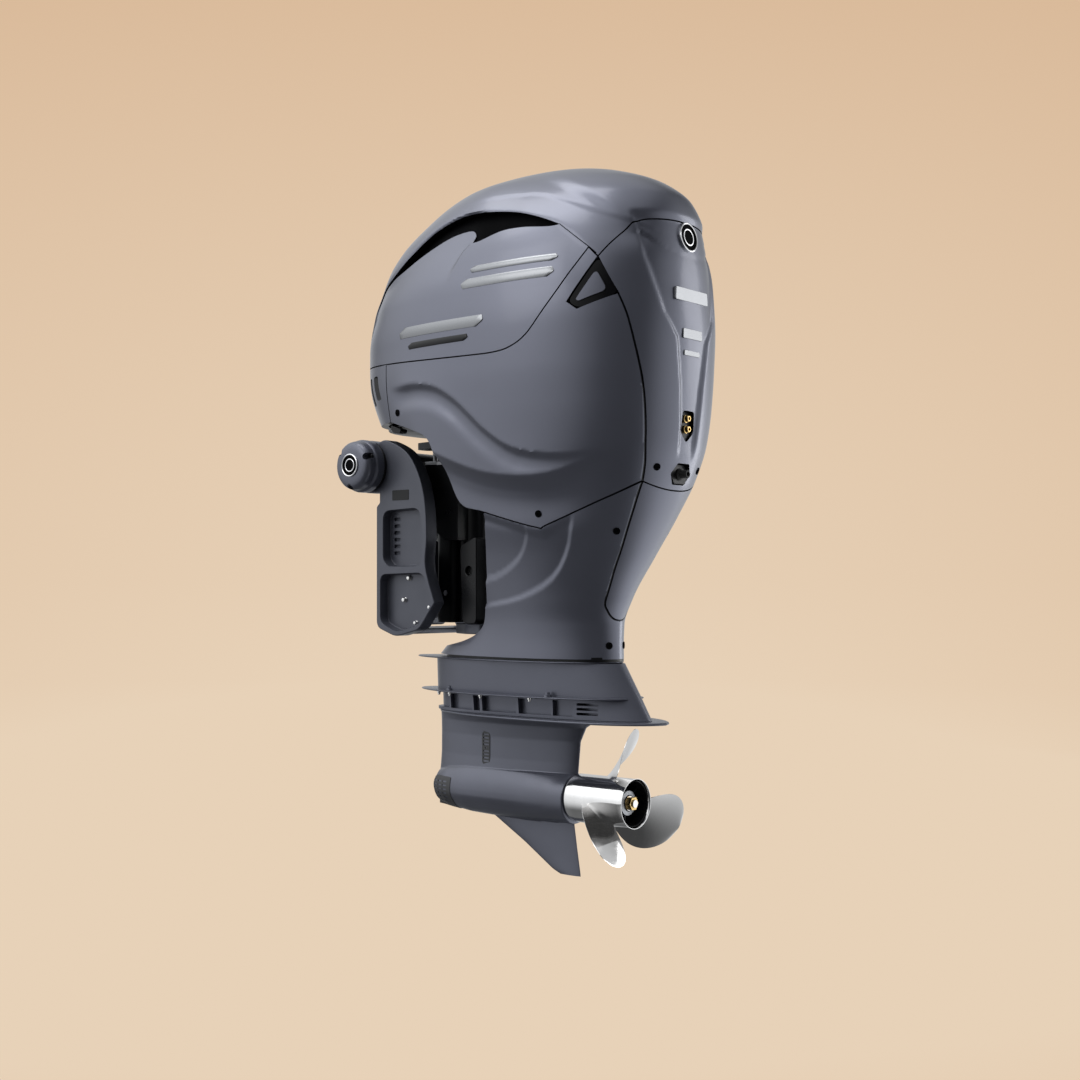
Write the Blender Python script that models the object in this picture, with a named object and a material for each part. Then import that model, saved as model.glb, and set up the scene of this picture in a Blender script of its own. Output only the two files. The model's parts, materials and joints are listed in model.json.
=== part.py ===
"""A V8 offshore outboard motor, built as the separate pieces that it comes apart into.

Metres. +X is forward (the bow), +Y is port and +Z is up. The origin is on the centreline, where the
transom's top edge meets the forward face of the clamp brackets.
"""

import math

import bmesh
import bpy
from mathutils import Matrix, Vector

# ---------------------------------------------------------------- driving dimensions
GAP = 0.0006  # clearance between pieces that touch
FIT = 0.0008  # clearance of a shaft in its bore

TILT_X, TILT_Z = 0.030, 0.090  # tilt tube axis, along Y
STEER_X = -0.220  # steering axis, along Z
DRIVE_X = -0.360  # crankshaft and driveshaft axis, along Z
PROP_Z = -0.856  # propeller shaft axis, along X

BRACKET_IN, BRACKET_OUT = 0.145, 0.190  # the two clamp plates, as |Y|
TUBE_R = 0.030
CAP_R = 0.078
KINGPIN_R = 0.025
DRIVESHAFT_R = 0.014
CASE_BORE_R = 0.022

CYLINDER_PIN = (-0.055, -0.355)  # X, Z of the tilt cylinder's lower pin
ROD_PIN = (-0.055, 0.005)  # X, Z of the pin on the swivel bracket
EYE_PLAY = 0.0165  # how far the rod's eye stands off its pin

ARM_REACH = 0.160  # steering pin ahead of the steering axis
ARM_LOW, ARM_HIGH = 0.150, 0.170
STEER_PIN_R = 0.008

SHELL = 0.005  # wall of the cowl panels
SEAM = 0.0015  # half the gap between two panels
SIDES = 48  # sides of one level of the skin

PLATE_Z = (-0.472, -0.569)  # tops of the splash plate and the spray plate
PLATE_T = 0.005
GEARCASE_TOP = -0.630

GEAR_TEETH, PINION_TEETH = 25, 14
GEAR_R = 0.055
PINION_R = GEAR_R * PINION_TEETH / GEAR_TEETH
GEAR_SMALL_END = 0.66

HUB_FRONT, HUB_REAR, HUB_R = -0.626, -0.814, 0.067
PROP_R = 0.205
PROP_PITCH = 0.46
BLADES = 3

# The skin, level by level: height, front X, rear X, half width, and how square the front and rear are.
SKIN = (
    (-0.465, -0.100, -0.757, 0.125, 2.0, 2.0),
    (-0.420, -0.150, -0.756, 0.127, 2.0, 2.0),
    (-0.370, -0.215, -0.757, 0.133, 2.1, 2.0),
    (-0.300, -0.240, -0.783, 0.150, 2.3, 2.0),
    (-0.184, -0.235, -0.852, 0.185, 2.5, 2.1),
    (-0.080, -0.190, -0.912, 0.228, 2.6, 2.2),
    (0.020, -0.110, -0.958, 0.265, 2.7, 2.35),
    (0.120, -0.020, -0.986, 0.290, 2.7, 2.45),
    (0.220, 0.050, -0.996, 0.304, 2.7, 2.5),
    (0.320, 0.088, -1.002, 0.311, 2.7, 2.5),
    (0.420, 0.098, -1.006, 0.312, 2.6, 2.5),
    (0.530, 0.077, -1.001, 0.305, 2.6, 2.5),
    (0.620, 0.036, -0.994, 0.289, 2.5, 2.5),
    (0.700, -0.030, -0.982, 0.264, 2.5, 2.5),
    (0.765, -0.112, -0.955, 0.232, 2.4, 2.5),
    (0.819, -0.196, -0.890, 0.192, 2.3, 2.4),
    (0.855, -0.288, -0.800, 0.149, 2.2, 2.3),
    (0.879, -0.384, -0.710, 0.100, 2.1, 2.2),
    (0.891, -0.470, -0.640, 0.049, 2.0, 2.0),
)
SKIN_MIDDLE = -0.50  # X where a level is widest

# Seams of the skin seen from the side, as (X, Z).
COWL_SEAM = [(0.20, 0.390), (-0.295, 0.362), (-0.567, 0.357), (-0.623, 0.366),
             (-0.675, 0.394), (-0.727, 0.454), (-0.777, 0.520), (-0.836, 0.610)]
ROOF_REAR = [(-0.862, 0.583), (-0.927, 0.682), (-1.10, 0.715)]
INSERT = [(-0.862, 0.583), (-0.793, 0.469), (-0.819, 0.450), (-0.912, 0.486)]
REAR_SEAM = [(-0.912, 0.486), (-0.933, 0.422), (-0.950, 0.312), (-0.955, 0.230),
             (-0.951, 0.143), (-0.939, 0.067), (-0.921, 0.008)]
REAR_FOOT = [(-0.921, 0.008), (-0.948, -0.016), (-1.10, -0.018)]
LOWER_EDGE = [(-0.125, 0.205), (-0.252, 0.168), (-0.303, 0.141), (-0.333, 0.073), (-0.373, -0.034),
              (-0.460, -0.062), (-0.628, -0.107), (-0.664, -0.101), (-0.847, -0.030), (-0.921, 0.008)]
TAIL_SEAM = [(-0.921, 0.008), (-0.876, -0.079), (-0.827, -0.169), (-0.790, -0.235),
             (-0.756, -0.304), (-0.752, -0.331), (-0.757, -0.358), (-0.780, -0.375), (-1.10, -0.375)]
APRON_FRONT = [(-0.455, -0.066), (-0.410, -0.200), (-0.378, -0.330), (-0.345, -0.388), (-0.250, -0.424),
               (-0.060, -0.450)]
SCOOP = [(-0.100, 0.632), (-0.180, 0.699), (-0.291, 0.740), (-0.416, 0.757), (-0.520, 0.752),
         (-0.667, 0.710), (-0.740, 0.678), (-0.640, 0.694), (-0.520, 0.693), (-0.440, 0.700),
         (-0.330, 0.716), (-0.215, 0.694)]


# ---------------------------------------------------------------- helpers
def material(name, colour, roughness, metallic=0.0):
    made = bpy.data.materials.new(name)
    made.use_nodes = True
    shader = made.node_tree.nodes["Principled BSDF"]
    shader.inputs["Base Color"].default_value = (*colour, 1.0)
    shader.inputs["Roughness"].default_value = roughness
    shader.inputs["Metallic"].default_value = metallic
    made.diffuse_color = (*colour, 1.0)
    return made


def empty(name, place, parent=None):
    made = bpy.data.objects.new(name, None)
    bpy.context.scene.collection.objects.link(made)
    made.parent = parent
    made.location = Vector(place) - (parent.matrix_world.translation if parent else Vector())
    bpy.context.view_layer.update()
    return made


def solid(name, points, faces, paint=None, pivot=None):
    """A closed mesh object from world points. Its origin is its pivot's, and no pivot makes a helper."""
    mesh = bpy.data.meshes.new(name)
    mesh.from_pydata([tuple(p) for p in points], [], faces)
    form = bmesh.new()
    form.from_mesh(mesh)
    bmesh.ops.recalc_face_normals(form, faces=form.faces)
    if form.calc_volume(signed=True) < 0:
        bmesh.ops.reverse_faces(form, faces=form.faces)
    form.to_mesh(mesh)
    form.free()
    made = bpy.data.objects.new(name, mesh)
    bpy.context.scene.collection.objects.link(made)
    if pivot:
        mesh.transform(Matrix.Translation(-pivot.matrix_world.translation))
        made.parent = pivot
        mesh.materials.append(paint)
    else:
        made.hide_render = True
        made.display_type = "WIRE"
    return made


def loft(rings):
    """(points, faces) of a solid through rings with the same number of points, capped at both ends."""
    count = len(rings[0])
    points = [p for ring in rings for p in ring]
    faces = [tuple(range(count)), tuple(range(len(points) - count, len(points)))]
    for level in range(len(rings) - 1):
        low = level * count
        for i in range(count):
            j = (i + 1) % count
            faces.append((low + i, low + j, low + count + j, low + count + i))
    return points, faces


def prism(outline, axis, low, high):
    """An outline carried along an axis. It is given in XZ for axis Y, in XY for Z and in YZ for X."""
    place = {
        "X": lambda p, t: (t, p[0], p[1]),
        "Y": lambda p, t: (p[0], t, p[1]),
        "Z": lambda p, t: (p[0], p[1], t),
    }[axis]
    return loft([[place(p, t) for p in outline] for t in (low, high)])


def box(x, y, z):
    return prism([(x[0], y[0]), (x[1], y[0]), (x[1], y[1]), (x[0], y[1])], "Z", z[0], z[1])


def lathe(profile, axis, centre, steps=24, loop=False):
    """A profile of (radius, distance along the axis) turned about an axis through centre."""
    place = {
        "X": lambda r, a, t: (t, centre[1] + r * math.cos(a), centre[2] + r * math.sin(a)),
        "Y": lambda r, a, t: (centre[0] + r * math.cos(a), t, centre[2] + r * math.sin(a)),
        "Z": lambda r, a, t: (centre[0] + r * math.cos(a), centre[1] + r * math.sin(a), t),
    }[axis]
    angles = [2 * math.pi * i / steps for i in range(steps)]
    points, faces = loft([[place(r, a, t) for a in angles] for r, t in profile])
    if loop:
        last = len(points) - steps
        faces = faces[2:]
        faces += [(last + i, last + (i + 1) % steps, (i + 1) % steps, i) for i in range(steps)]
    return points, faces


def rod(axis, centre, radius, low, high, steps=24):
    return lathe([(radius, low), (radius, high)], axis, centre, steps)


def tube(axis, centre, outer, inner, low, high, steps=24):
    return lathe([(outer, low), (outer, high), (inner, high), (inner, low)], axis, centre, steps, loop=True)


def boolean(target, kind, shapes):
    for shape in shapes:
        helper = solid(f"{target.name}_{kind.lower()}_{len(target.modifiers)}", *shape)
        change = target.modifiers.new(f"{kind.title()} {len(target.modifiers)}", "BOOLEAN")
        change.operation = kind
        change.object = helper
        change.solver = "EXACT"


def cut(target, *shapes):
    boolean(target, "DIFFERENCE", shapes)


def add(target, *shapes):
    boolean(target, "UNION", shapes)


def keep(target, *shapes):
    boolean(target, "INTERSECT", shapes)


def arc(centre, radius, start, end, count):
    turn = [math.radians(start + (end - start) * i / (count - 1)) for i in range(count)]
    return [(centre[0] + radius * math.cos(a), centre[1] + radius * math.sin(a)) for a in turn]


def shrunk(outline, by):
    """The outline moved inwards by a distance, corner by corner."""
    size = len(outline)
    area = sum(outline[i - 1][0] * outline[i][1] - outline[i][0] * outline[i - 1][1] for i in range(size))
    side = 1 if area > 0 else -1
    moved = []
    for i in range(size):
        here = Vector(outline[i])
        into = (here - Vector(outline[i - 1])).normalized()
        out = (Vector(outline[(i + 1) % size]) - here).normalized()
        normals = [Vector((-d.y, d.x)) * side for d in (into, out)]
        middle = (normals[0] + normals[1]).normalized()
        moved.append(tuple(here + middle * by / max(middle.dot(normals[0]), 0.4)))
    return moved


def rounded(outline, radius, steps=4):
    """The outline with each corner cut by an arc-like curve."""
    soft = []
    for i, corner in enumerate(outline):
        here = Vector(corner)
        before = Vector(outline[i - 1]) - here
        after = Vector(outline[(i + 1) % len(outline)]) - here
        reach = min(radius, before.length / 2.2, after.length / 2.2)
        start = here + before.normalized() * reach
        end = here + after.normalized() * reach
        for k in range(steps + 1):
            t = k / steps
            soft.append(tuple(start * (1 - t) ** 2 + here * 2 * t * (1 - t) + end * t ** 2))
    return soft


def oval(front, rear, half, front_power=2.0, rear_power=2.0, count=SIDES, middle=None):
    """A plan outline whose front and rear halves are superellipses."""
    widest = middle if middle is not None else (front + rear) / 2
    points = []
    for i in range(count):
        c, s = math.cos(2 * math.pi * i / count), math.sin(2 * math.pi * i / count)
        power = front_power if c >= 0 else rear_power
        reach = front - widest if c >= 0 else widest - rear
        x = widest + math.copysign(abs(c) ** (2 / power), c) * reach
        points.append((x, math.copysign(abs(s) ** (2 / power), s) * half))
    return points


def skin(inset):
    """The whole outer skin moved inwards by a distance, as one solid."""
    rings = []
    for z, front, rear, half, front_power, rear_power in SKIN:
        straight = front < SKIN_MIDDLE + 0.05 or rear > SKIN_MIDDLE - 0.05
        middle = (front + rear) / 2 if straight else SKIN_MIDDLE
        outline = oval(front - inset, rear + inset, half - inset, front_power, rear_power, middle=middle)
        drop = inset * (1.0 if z > 0.8 else 0.0)
        rings.append([(x, y, z - drop) for x, y in outline])
    return loft(rings)


def panel(name, outline, paint, pivot, side=(-0.5, 0.5), wall=SHELL):
    """One panel of the skin: what an outline seen from the side cuts out of it, as a shell."""
    made = solid(name, *skin(0.0), paint, pivot)
    keep(made, prism(shrunk(outline, SEAM), "Y", *side))
    cut(made, hollow(wall))
    return made


def hollow(wall):
    """The skin's inside, carried below its lowest level, so that no panel has a floor."""
    points, faces = skin(wall)
    low = min(p[2] for p in points)
    return [(x, y, z - 0.02) if z == low else (x, y, z) for x, y, z in points], faces


# ---------------------------------------------------------------- materials
def materials():
    return {
        "paint": material("Cowl paint", (0.125, 0.132, 0.175), 0.28, 0.55),
        "case": material("Case paint", (0.110, 0.116, 0.155), 0.36, 0.45),
        "dark": material("Dark bracket paint", (0.060, 0.063, 0.078), 0.42, 0.35),
        "black": material("Black plastic", (0.012, 0.012, 0.014), 0.48),
        "rubber": material("Rubber", (0.015, 0.015, 0.015), 0.75),
        "steel": material("Polished stainless steel", (0.66, 0.65, 0.64), 0.12, 1.0),
        "alloy": material("Cast aluminium", (0.42, 0.43, 0.45), 0.45, 0.9),
        "brass": material("Brass", (0.62, 0.42, 0.16), 0.25, 1.0),
        "zinc": material("Sacrificial zinc", (0.72, 0.73, 0.74), 0.55, 0.6),
        "gear": material("Gear steel", (0.30, 0.30, 0.31), 0.32, 1.0),
    }


# ---------------------------------------------------------------- clamp brackets
def bracket_outline():
    head = arc((TILT_X, TILT_Z), CAP_R, -90, 95, 9)
    tail = [(-0.046, 0.166), (-0.125, 0.128), (-0.174, 0.059), (-0.202, -0.023), (-0.210, -0.124),
            (-0.204, -0.210), (-0.240, -0.313), (-0.176, -0.392), (-0.079, -0.414)]
    return [(0.0, -0.386), (0.0, -0.025), (-0.014, -0.016), (-0.014, 0.012)] + head + tail


def clamp_bracket(name, side, pivot, paint):
    y = sorted((side * BRACKET_IN, side * BRACKET_OUT))
    made = solid(name, *prism(bracket_outline(), "Y", *y), paint["dark"], pivot)
    floor = side * (BRACKET_IN + 0.014)
    pocket = sorted((floor, side * (BRACKET_OUT + 0.02)))
    upper = [(-0.030, -0.045), (-0.030, -0.185), (-0.050, -0.205), (-0.176, -0.205), (-0.184, -0.120),
             (-0.170, -0.040)]
    lower = [(-0.018, -0.232), (-0.018, -0.372), (-0.082, -0.396), (-0.168, -0.374), (-0.216, -0.313),
             (-0.188, -0.228)]
    for outline in (upper, lower):
        cut(made, prism(rounded(outline, 0.014, 3), "Y", *pocket))
    cut(made, rod("Y", (TILT_X, 0, TILT_Z), TUBE_R + FIT, -0.3, 0.3))
    return made


def build_clamp(pivot, paint):
    for name, side in (("port", 1), ("starboard", -1)):
        clamp_bracket(f"clamp_bracket_{name}", side, pivot, paint)
        inner, outer = side * (BRACKET_OUT + GAP), side * 0.268
        cap = [(CAP_R - 0.006, inner), (CAP_R, side * 0.196), (CAP_R, side * 0.222), (CAP_R - 0.007, side * 0.226),
               (CAP_R - 0.009, side * 0.250), (CAP_R - 0.020, side * 0.262), (0.034, outer)]
        solid(f"end_cap_{name}", *lathe(cap, "Y", (TILT_X, 0, TILT_Z), 40), paint["dark"], pivot)
    reach = BRACKET_OUT - 0.001
    tilt_tube = tube("Y", (TILT_X, 0, TILT_Z), TUBE_R, 0.021, -reach, reach)
    solid("tilt_tube", *tilt_tube, paint["steel"], pivot)
    reach = BRACKET_IN - GAP
    lower_pin = rod("Y", (CYLINDER_PIN[0], 0, CYLINDER_PIN[1]), 0.012, -reach, reach, 24)
    solid("cylinder_lower_pin", *lower_pin, paint["steel"], pivot)
    anode = rounded([(-0.062, -0.392), (-0.062, -0.408), (-0.020, -0.402), (-0.020, -0.386)], 0.004, 2)
    solid("bracket_anode", *prism(anode, "Y", -reach, reach), paint["zinc"], pivot)


# ---------------------------------------------------------------- swivel bracket and tilt cylinder
def build_swivel(pivot, paint):
    made = solid("swivel_bracket", *rod("Y", (TILT_X, 0, TILT_Z), 0.054, -0.142, 0.142, 36), paint["dark"], pivot)
    cheeks = [(0.030, 0.038), (-0.180, -0.130), (-0.235, -0.130), (-0.235, 0.090), (0.010, 0.100)]
    barrel = rod("Z", (STEER_X, 0, 0), 0.046, -0.368, 0.098)
    spine = [(-0.190, -0.10), (-0.190, -0.34), (-0.235, -0.36), (-0.235, 0.0)]
    add(made, prism(cheeks, "Y", -0.088, 0.088), barrel, prism(spine, "Y", -0.030, 0.030))
    lugs = [box((-0.078, -0.012), sorted((s * 0.118, s * 0.134)), (0.066, 0.106)) for s in (1, -1)]
    add(made, *lugs)
    pocket = [(0.090, -0.60), (-0.150, -0.60), (-0.150, -0.020), (-0.105, 0.046), (-0.055, 0.060),
              (-0.014, 0.043), (0.030, 0.029), (0.090, 0.020)]
    cut(made, prism(pocket, "Y", -0.050, 0.050))
    cut(made, box((-0.100, -0.0245), (-0.112, 0.112), (0.0605, 0.2)))
    cut(made, rod("Y", (TILT_X, 0, TILT_Z), TUBE_R + FIT, -0.2, 0.2, 36))
    cut(made, rod("Z", (STEER_X, 0, 0), KINGPIN_R + FIT, -0.5, 0.2))
    cut(made, rod("Y", (ROD_PIN[0], 0, ROD_PIN[1]), 0.011 + FIT, -0.072, 0.072, 24))
    cut(made, rod("Y", (-0.060, 0, 0.085), 0.009 + FIT, -0.130, 0.130, 24))
    solid("rod_pin", *rod("Y", (ROD_PIN[0], 0, ROD_PIN[1]), 0.011, -0.071, 0.071, 24), paint["steel"], pivot)
    solid("steering_guide_rod", *rod("Y", (-0.060, 0, 0.085), 0.009, -0.129, 0.129, 24), paint["steel"], pivot)


def build_carriage(pivot, paint):
    made = solid("steering_carriage", *box((-0.083, -0.037), (-0.022, 0.022), (0.067, 0.112)), paint["alloy"], pivot)
    add(made, rod("Z", (STEER_X + ARM_REACH, 0, 0), STEER_PIN_R, 0.105, ARM_HIGH + 0.004, 20))
    cut(made, rod("Y", (-0.060, 0, 0.085), 0.009 + FIT, -0.05, 0.05, 24))


def build_support_lever(pivot, paint):
    place = pivot.matrix_world.translation
    bar = arc((place.x, place.z), 0.013, 0, 180, 7) + [(place.x - 0.011, place.z - 0.075)]
    bar += arc((place.x - 0.002, place.z - 0.080), 0.010, 180, 360, 5)
    made = solid("tilt_support_lever", *prism(bar, "Y", 0.0905, 0.1005), paint["alloy"], pivot)
    add(made, rod("Y", (place.x - 0.002, 0, place.z - 0.080), 0.0075, 0.095, 0.118, 16))


def build_cylinder(pivot, paint):
    x, z = CYLINDER_PIN
    made = solid("tilt_cylinder", *rod("Z", (x, 0, 0), 0.031, z + 0.018, z + 0.225), paint["dark"], pivot)
    add(made, rod("Y", (x, 0, z), 0.026, -0.030, 0.030, 24))
    cut(made, rod("Z", (x, 0, 0), 0.0245, z + 0.045, z + 0.40))
    cut(made, rod("Y", (x, 0, z), 0.012 + FIT, -0.05, 0.05, 24))
    shape = [(0.022, z + 0.030), (0.034, z + 0.040), (0.034, z + 0.175), (0.028, z + 0.190), (0.012, z + 0.194)]
    solid("tilt_pump_motor", *lathe(shape, "Z", (x, 0.088, 0), 24), paint["black"], pivot)


def build_tilt_rod(pivot, paint):
    x = CYLINDER_PIN[0]
    low = CYLINDER_PIN[1]
    eye = EYE_PLAY + 0.011
    made = solid("tilt_rod", *rod("Z", (x, 0, 0), 0.0125, low + 0.070, ROD_PIN[1] - 0.030, 24), paint["steel"], pivot)
    add(made, rod("Z", (x, 0, 0), 0.0235, low + 0.055, low + 0.080, 24))
    add(made, rod("Y", (x, 0, ROD_PIN[1]), eye + 0.008, -0.016, 0.016, 28))
    cut(made, rod("Y", (x, 0, ROD_PIN[1]), eye, -0.05, 0.05, 28))


# ---------------------------------------------------------------- steered midsection
def build_steering(pivot, paint):
    solid("kingpin", *rod("Z", (STEER_X, 0, 0), KINGPIN_R, -0.405, ARM_LOW - GAP), paint["steel"], pivot)
    arm = [(-0.004, -0.028), (-0.004, 0.028), (-0.150, 0.050), (-0.290, 0.125), (-0.395, 0.125),
           (-0.395, -0.125), (-0.290, -0.125), (-0.150, -0.050)]
    made = solid("steering_arm", *prism(rounded(arm, 0.02, 3), "Z", ARM_LOW, ARM_HIGH), paint["dark"], pivot)
    slot = STEER_PIN_R + 0.0034
    front, rear = STEER_X + 0.192, STEER_X + 0.154
    groove = arc((front, 0), slot, -90, 90, 7) + arc((rear, 0), slot, 90, 270, 7)
    cut(made, prism(groove, "Z", ARM_LOW - 0.01, ARM_HIGH + 0.01))
    cut(made, box((-0.45, -0.325), (-0.07, 0.07), (ARM_LOW - 0.01, ARM_HIGH + 0.01)))
    yoke = [(-0.180, -0.040), (-0.180, 0.040), (-0.262, 0.085), (-0.322, 0.085), (-0.322, -0.085), (-0.262, -0.085)]
    lower = solid("lower_mount_yoke", *prism(rounded(yoke, 0.012, 3), "Z", -0.404, -0.374), paint["dark"], pivot)
    cut(lower, rod("Z", (STEER_X, 0, 0), KINGPIN_R + GAP, -0.5, -0.3))
    for name, side in (("port", 1), ("starboard", -1)):
        mount = rod("Z", (-0.360, side * 0.098, 0), 0.024, 0.0905, ARM_LOW - GAP, 24)
        solid(f"upper_mount_{name}", *mount, paint["rubber"], pivot)
        y = sorted((side * 0.060, side * 0.104))
        cover = rounded([(-0.258, -0.150), (-0.322, -0.120), (-0.322, -0.3734), (-0.268, -0.3734)], 0.016, 3)
        block = solid(f"lower_mount_{name}", *prism(cover, "Y", *y), paint["black"], pivot)
        cut(block, rod("Y", (-0.292, 0, -0.221), 0.013, *sorted((side * 0.090, side * 0.2)), 16))


def case_levels(levels, powers=(2.2, 1.9)):
    return loft([[(x, y, z) for x, y in oval(front, rear, half, *powers, count=36)]
                 for z, front, rear, half in levels])


def build_midsection(pivot, paint):
    bore = rod("Z", (DRIVE_X, 0, 0), CASE_BORE_R, -0.7, 0.2, 24)
    guide = [(-0.325, 0.135), (-0.325, -0.135), (-0.700, -0.150), (-0.820, -0.090), (-0.820, 0.090), (-0.700, 0.150)]
    made = solid("exhaust_guide", *prism(rounded(guide, 0.03, 3), "Z", 0.060, 0.090), paint["alloy"], pivot)
    cut(made, bore)
    upper = [(-0.462, -0.330, -0.700, 0.096), (-0.300, -0.328, -0.690, 0.078), (-0.100, -0.328, -0.700, 0.092),
             (0.059, -0.326, -0.760, 0.130)]
    made = solid("upper_case", *case_levels(upper), paint["alloy"], pivot)
    cut(made, bore)
    cut(made, box((-0.62, -0.42), (-0.05, 0.05), (-0.44, 0.2)))

    plate = oval(0.002, -0.764, 0.150, 1.75, 2.0, 48, -0.45)
    made = solid("splash_plate", *prism(plate, "Z", PLATE_Z[0] - PLATE_T, PLATE_Z[0]), paint["case"], pivot)
    cut(made, bore)
    low_plate = PLATE_Z[1] - PLATE_T
    case = [(PLATE_Z[0] - PLATE_T - GAP, -0.0915, -0.768, 0.118), (low_plate, -0.0915, -0.824, 0.112),
            (GEARCASE_TOP + GAP, -0.0915, -0.862, 0.106)]
    made = solid("extension_case", *case_levels(case), paint["case"], pivot)
    plate = oval(-0.016, -0.824, 0.142, 1.75, 2.0, 48, -0.45)
    add(made, prism(plate, "Z", low_plate, PLATE_Z[1]))
    cut(made, bore)
    recess = solid("band_recess", *box((-0.665, -0.12), (-0.3, 0.3), (-0.6215, -0.5795)))
    cut(recess, box((-0.75, -0.10), (-0.080, 0.080), (-0.70, -0.50)))
    for x in (-0.200, -0.339, -0.496):
        cut(recess, box((x - 0.004, x + 0.004), (-0.4, 0.4), (-0.7, -0.5)))
    change = made.modifiers.new("Ribbed band", "BOOLEAN")
    change.operation = "DIFFERENCE"
    change.object = recess
    change.solver = "EXACT"


def build_apron(pivot, paint):
    low = -0.467
    outline = ([(x, z - 2 * SEAM) for x, z in LOWER_EDGE[5:]][:-1] + TAIL_SEAM[:-1]
               + [(-1.10, -0.375), (-1.10, low), (-0.05, low)] + APRON_FRONT[::-1])
    for name, y in (("port", (0.0006, 0.5)), ("starboard", (-0.5, -0.0006))):
        panel(f"apron_{name}", outline, paint["paint"], pivot, y)


# ---------------------------------------------------------------- gearcase and drive
def build_gearcase(pivot, paint):
    strut = [(GEARCASE_TOP - 0.001, -0.0915, -0.700, 0.070), (-0.660, -0.0915, -0.640, 0.056),
             (-0.700, -0.0915, -0.622, 0.050), (-0.760, -0.0915, -0.616, 0.050), (-0.800, -0.088, -0.612, 0.052),
             (-0.856, -0.080, -0.608, 0.050)]
    made = solid("gearcase", *case_levels(strut, (2.0, 1.7)), paint["case"], pivot)
    plate = [(-0.915, 0.012), (-0.760, 0.118), (-0.520, 0.136), (-0.300, 0.118), (-0.120, 0.040)]
    plate = plate + [(x, -y) for x, y in plate[::-1]]
    add(made, prism(rounded(plate, 0.03, 3), "Z", -0.6385, GEARCASE_TOP))
    torpedo = [(0.004, -0.0755), (0.030, -0.082), (0.050, -0.104), (0.063, -0.150), (0.071, -0.230),
               (0.074, -0.330), (0.074, -0.480), (0.070, -0.609)]
    add(made, lathe(torpedo, "X", (0, 0, -0.860), 32))
    skeg = [(-0.900, -0.150, -0.603, 0.012), (-0.934, -0.300, -0.600, 0.010), (-1.000, -0.418, -0.610, 0.0075),
            (-1.066, -0.522, -0.621, 0.005), (-1.077, -0.548, -0.622, 0.004)]
    add(made, case_levels(skeg, (1.8, 1.6)))
    inside = [(0.017, -0.200), (0.017, -0.292), (0.062, -0.292), (0.062, -0.640)]
    cut(made, lathe(inside, "X", (0, 0, PROP_Z), 32))
    cut(made, rod("Z", (DRIVE_X, 0, 0), 0.036, PROP_Z, PROP_Z + 0.085, 28))
    cut(made, rod("Z", (DRIVE_X, 0, 0), CASE_BORE_R, PROP_Z, -0.5, 24))
    cut(made, rod("Z", (DRIVE_X, 0, 0), 0.046, -0.686, -0.5, 28))
    for side in (1, -1):
        slot = rounded([(-0.296, -0.684), (-0.296, -0.784), (-0.328, -0.784), (-0.328, -0.684)], 0.015, 4)
        cut(made, prism(slot, "Y", *sorted((side * 0.035, side * 0.09))))
        nose = [(-0.086, -0.808), (-0.140, -0.812), (-0.152, -0.850), (-0.148, -0.876), (-0.100, -0.872)]
        cut(made, prism(rounded(nose, 0.008, 3), "Y", *sorted((side * 0.030, side * 0.09))))


def build_gearcase_trim(pivot, paint):
    for name, side in (("port", 1), ("starboard", -1)):
        slot = rounded([(-0.297, -0.685), (-0.297, -0.783), (-0.327, -0.783), (-0.327, -0.685)], 0.014, 4)
        screen = prism(slot, "Y", *sorted((side * 0.036, side * 0.0495)))
        solid(f"side_inlet_{name}", *screen, paint["black"], pivot)
    housing = tube("Z", (DRIVE_X, 0, 0), 0.0452, 0.034, -0.6845, -0.640)
    solid("water_pump_housing", *housing, paint["alloy"], pivot)
    ring = [(0.0612, -0.452), (0.0612, -0.6075), (0.0240, -0.6075), (0.0240, -0.452)]
    made = solid("bearing_carrier", *lathe(ring, "X", (0, 0, PROP_Z), 32, loop=True), paint["alloy"], pivot)
    cut(made, lathe([(0.050, -0.47), (0.036, -0.47), (0.036, -0.7), (0.050, -0.7)], "X", (0, 0, PROP_Z), 32, True))


def bevel_gear(teeth, tip, half_tip, root, half_root, turn):
    """The rim of a bevel gear at its large end, as (radius, angle), one tooth after another."""
    rim = []
    for i in range(teeth):
        middle = 2 * math.pi * i / teeth + turn
        for radius, off in ((root, -half_root), (tip, -half_tip), (tip, half_tip), (root, half_root)):
            rim.append((radius, middle + off))
    return rim


def gear_solid(name, rim, distance, back, hub_r, bore_r, toward, pivot, paint):
    """A bevel gear on the propeller shaft. toward is +1 for the forward gear and -1 for the reverse gear."""
    def ring(scale, x):
        return [(x, r * scale * math.cos(a), PROP_Z + r * scale * math.sin(a)) for r, a in rim]
    large = DRIVE_X + toward * distance
    small = DRIVE_X + toward * distance * GEAR_SMALL_END
    made = solid(name, *loft([ring(GEAR_SMALL_END, small), ring(1.0, large)]), paint["gear"], pivot)
    add(made, rod("X", (0, 0, PROP_Z), hub_r, *sorted((large - toward * 0.002, large + toward * back)), 32))
    cut(made, rod("X", (0, 0, PROP_Z), bore_r, -0.6, -0.1, 24))
    return made


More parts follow.
